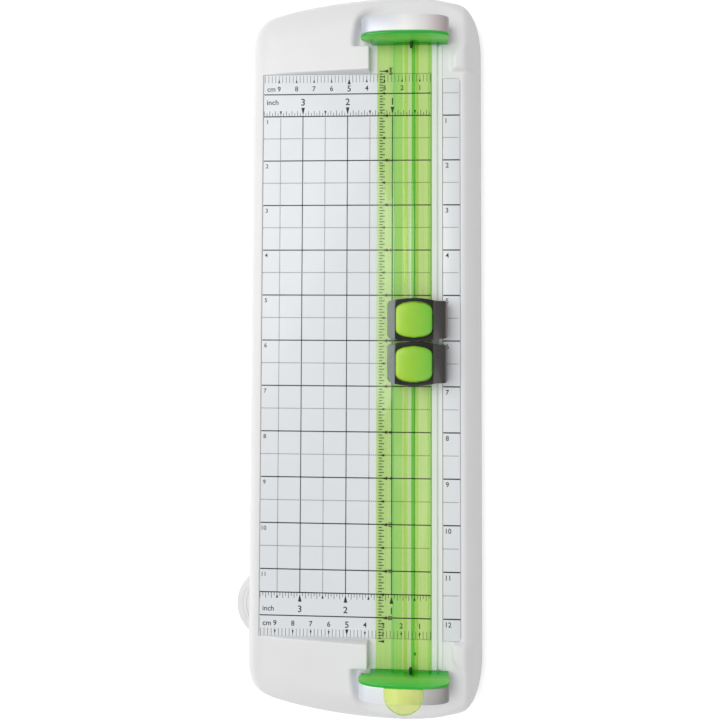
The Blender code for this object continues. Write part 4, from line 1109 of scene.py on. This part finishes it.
def housing_hollow(low, high, y):
    """The room inside a housing: the housing's own shape, less a wall and a roof."""
    half_length = (high.y - low.y) / 2
    plan = shifted(housing_plan(low.x, high.x, half_length, HOUSING_WALL), y)
    hollow = prism("cavity", plan, low.z - 4.0, high.z - HOUSING_ROOF)
    inner_low = low + Vector((HOUSING_WALL, 0, 0))
    inner_high = high - Vector((HOUSING_WALL, 0, HOUSING_ROOF))
    section = housing_section(inner_low, inner_high, low.z - 5.0)
    return combine(hollow, prism("inner", section, y - 20.0, y + 20.0, "XZ"), "INTERSECT")


def build_housing(name):
    node = f"{name}_housing"
    low, high = span(node)
    button_low, button_high = span(f"{name}_button")
    y = middle_of(node).y
    plan = shifted(housing_plan(low.x, high.x, (high.y - low.y) / 2), y)
    shell = prism(f"{name}_shell", plan, low.z - 2.0, high.z + 2.0)
    section = housing_section(low, high, low.z)
    combine(shell, prism("section", section, y - 20.0, y + 20.0, "XZ"), "INTERSECT")
    soften(shell, 0.45, 3, 32)
    combine(shell, housing_hollow(low, high, y))
    well = button_plan(*button_shape(button_low, button_high), -BUTTON_GAP)
    combine(shell, prism("well", shifted(well, y), high.z - 3.0, high.z + 3.0))
    combine(shell, rail_passage(low.x, y))
    # The flanks are painted lighter than the charcoal middle, as painted reflections of the studio light.
    paint(shell, HOUSING_SURFACES)
    split_surfaces(shell, (button_low.x - 0.4, button_high.x + 0.4))
    dress(shell, f"{name}_carriage", HOUSING_SURFACES, [node], 32)


def button_shape(low, high):
    """A button's middle in X, half width and half length, from its CAD box."""
    return (low.x + high.x) / 2, (high.x - low.x) / 2, (high.y - low.y) / 2


def rail_passage(left, y):
    """Room for the rail's deck and track through the housing's end walls."""
    clear = 0.5
    track_left, track_right = TRACK_MIDDLE - TRACK_HALF - clear, TRACK_MIDDLE + TRACK_HALF + clear
    right, start, low = RAIL_HIGH.x + clear, left - 2, BED_Z - 3
    step, flange = RAIL_STEP - clear, FLANGE_TOP + clear
    deck, track = DECK_TOP + clear, TRACK_TOP + clear
    points = [(start, low), (right, low), (right, deck), (track_right, deck), (track_right, track)]
    points += [(track_left, track), (track_left, deck), (step, deck), (step, flange), (start, flange)]
    return prism("passage", points, y - 16.0, y + 16.0, "XZ")


def cap_drop(scale, across, along):
    """How far the cap lies below its top: a rounded edge, a crown and a shallow dish for the finger."""
    edge = BUTTON_EDGE * (1 - float(rounded_rise((1 - scale) * 9.0)))
    fall = BUTTON_FALL[0] * across ** 2 + BUTTON_FALL[1] * along ** 4
    dish = BUTTON_DISH * (1 - min(scale / 0.7, 1.0) ** 2) ** 2
    return edge + fall + dish


def build_button(name):
    """A crowned cap whose front and rear edges turn down, made of rings that shrink towards its middle."""
    node = f"{name}_button"
    low, high = span(node)
    y = middle_of(node).y
    middle, half_width, half_length = button_shape(low, high)
    outline = button_plan(middle, half_width, half_length)
    count, last = len(outline), len(outline) * len(BUTTON_RINGS)
    vertices = [(px, py + y, low.z) for px, py in outline]
    for scale in BUTTON_RINGS:
        for px, py in outline:
            qx, qy = (px - middle) * scale, py * scale
            drop = cap_drop(scale, qx / half_width, qy / half_length)
            vertices.append((middle + qx, qy + y, high.z - drop))
    vertices.append((middle, y, high.z - BUTTON_DISH))
    faces = [tuple(range(count))[::-1]]
    for i in range(count):
        j = (i + 1) % count
        faces += [(ring + i, ring + j, ring + j + count, ring + i + count) for ring in range(0, last, count)]
        faces.append((last + i, last + j, len(vertices) - 1))
    cap = make_mesh(f"{name}_cap", vertices, faces)
    hollow = shifted(button_plan(middle, half_width, half_length, BUTTON_WALL), y)
    combine(cap, prism("hollow", hollow, low.z - 1.0, low.z + BUTTON_HOLLOW))
    dress(cap, f"{name}_press", ["button_green"], [node], 45)


# ---- measuring arm

def arm_outline():
    """A long strip, round at its pivot, with a round thumb tab beside the base."""
    pivot = next(j for j in frame["joints"] if j["name"] == "arm_swing")["pos_m"]
    x, y = pivot[0] / MM, pivot[1] / MM
    half = ARM_HIGH.x - x
    left, right, front = x - half, ARM_HIGH.x, ARM_LOW.y
    radius = 20.2
    centre = (ARM_LOW.x + radius, -144.0)
    rise = (radius ** 2 - (left - centre[0]) ** 2) ** 0.5
    low_rise = (radius ** 2 - (front - centre[1]) ** 2) ** 0.5
    points = [(right, front), (right, y)] + arc((x, y), half, 0, 180, 33)[1:-1] + [(left, y)]
    points.append((left, centre[1] + rise))
    start = 180 - degrees(atan2(rise, centre[0] - left))
    end = 180 + degrees(atan2(centre[1] - front, low_rise))
    return points + arc(centre, radius, start, end, 33)[1:], (x, y), centre, radius


def build_arm():
    outline, pivot, centre, radius = arm_outline()
    arm = prism("swing_arm", outline, ARM_LOW.z, ARM_HIGH.z)
    combine(arm, rod("bore", (*pivot, ARM_LOW.z), 2.3, 12.0, "XY"))
    soften(arm, 0.45, 3, 40)
    dress(arm, "measuring_arm", ["arm_plastic"], ["ruler_arm"], 35)
    for number, inset in enumerate((2.6, 4.6, 6.6)):
        reach = 30.0 - 3.0 * number
        outer = arc(centre, radius - inset, 180 - reach, 180 + reach, 25)
        inner = arc(centre, radius - inset - 0.8, 180 + reach, 180 - reach, 25)
        ridge = prism(f"arm_ridge_{number + 1}", outer + inner, ARM_HIGH.z - 0.2, ARM_HIGH.z + 0.3)
        soften(ridge, 0.15, 2, 40)
        dress(ridge, "measuring_arm", ["arm_plastic"])


# ---- the CAD nodes that stay

KEPT_NODES = {
    "bed_print": ["bed_plate"],
    "strip_plastic": ["cutting_strip"],
    "steel": ["hinge_pin", "arm_pivot_screw", "hood_screw_1", "hood_screw_2", "scorer_axle", "cutter_axle",
              "scorer_spring", "cutter_spring"],
    "blade_steel": ["scorer_wheel", "cutter_wheel"],
    "charcoal_inner": ["rear_rail_screw", "front_rail_screw", "scorer_shoe", "cutter_shoe",
                       "scorer_blade_holder", "cutter_blade_holder"],
    "rubber": [node for node in frame["nodes"] if node.startswith("foot_")],
}


def dress_kept_nodes():
    for surface_name, nodes in KEPT_NODES.items():
        for node in nodes:
            mesh = frame["nodes"][node].data
            mesh.materials.clear()
            mesh.materials.append(MATERIALS[surface_name])


# ---- studio

def build_floor():
    half = 3000.0
    floor = block("floor", (-half, -half, -20.0), (half, half, 0.0))
    material, tree = new_material("floor")
    colour = ramp(tree, noise(tree, 3.0), (0.90, 0.90, 0.90), (0.93, 0.93, 0.93))
    gloss = remap(tree, noise(tree, 20.0), 0.7, 0.8)
    shader = add(tree, "BsdfPrincipled", Base_Color=colour, Roughness=gloss, Coat_Roughness=0.08,
                 Emission_Color=(1.0, 1.0, 1.0, 1.0), Emission_Strength=FLOOR_GLOW)
    add(tree, "OutputMaterial", Surface=shader.outputs["BSDF"])
    floor.data.materials.append(material)


def area_light(name, position, size, power):
    """A rectangular light, in metres and watts, that faces the origin."""
    lamp = bpy.data.lights.new(name, "AREA")
    lamp.shape = "RECTANGLE"
    lamp.size, lamp.size_y = size
    lamp.energy = power
    thing = place(name, lamp)
    thing.location = position
    thing.rotation_mode = "QUATERNION"
    thing.rotation_quaternion = (-Vector(position)).to_track_quat("-Z", "Y")


def build_world():
    """Soft light all round, brighter from the left than from the right."""
    world = bpy.data.worlds.new("studio")
    bpy.context.scene.world = world
    world.use_nodes = True
    tree = world.node_tree
    tree.nodes.clear()
    split = add(tree, "SeparateXYZ", Vector=add(tree, "TexCoord").outputs["Generated"])
    light = add(tree, "Background", Strength=remap(tree, split.outputs["X"], *WORLD_LIGHT, -1.0, 1.0))
    add(tree, "OutputWorld", Surface=light.outputs["Background"])


def build_camera():
    data = bpy.data.cameras.new("camera")
    data.lens = CAMERA_LENS
    data.shift_y = CAMERA_SHIFT
    data.clip_start = 0.01
    camera = place("camera", data)
    camera.location = [c * MM for c in CAMERA_PLACE]
    turn = Vector([radians(a) for a in CAMERA_TURN])
    camera.rotation_mode = "AXIS_ANGLE"
    camera.rotation_axis_angle = (turn.length, *turn.normalized())
    bpy.context.scene.camera = camera


def build_studio():
    build_floor()
    build_world()
    area_light("key", (-0.55, 0.25, 1.1), (0.9, 0.9), 8.5)
    area_light("fill", (0.5, -0.6, 1.2), (0.8, 0.8), 2.2)
    bpy.context.scene.view_settings.view_transform = "Standard"
    build_camera()


MATERIALS = make_materials()
build_base()
build_side_plate()
build_bed_print()
build_side_print()
build_rail()
build_rail_print()
build_rear_plate()
build_front_plate()
build_rear_hood()
build_front_hood()
for carriage in ("scorer", "cutter"):
    build_housing(carriage)
    build_button(carriage)
build_arm()
dress_kept_nodes()
build_studio()
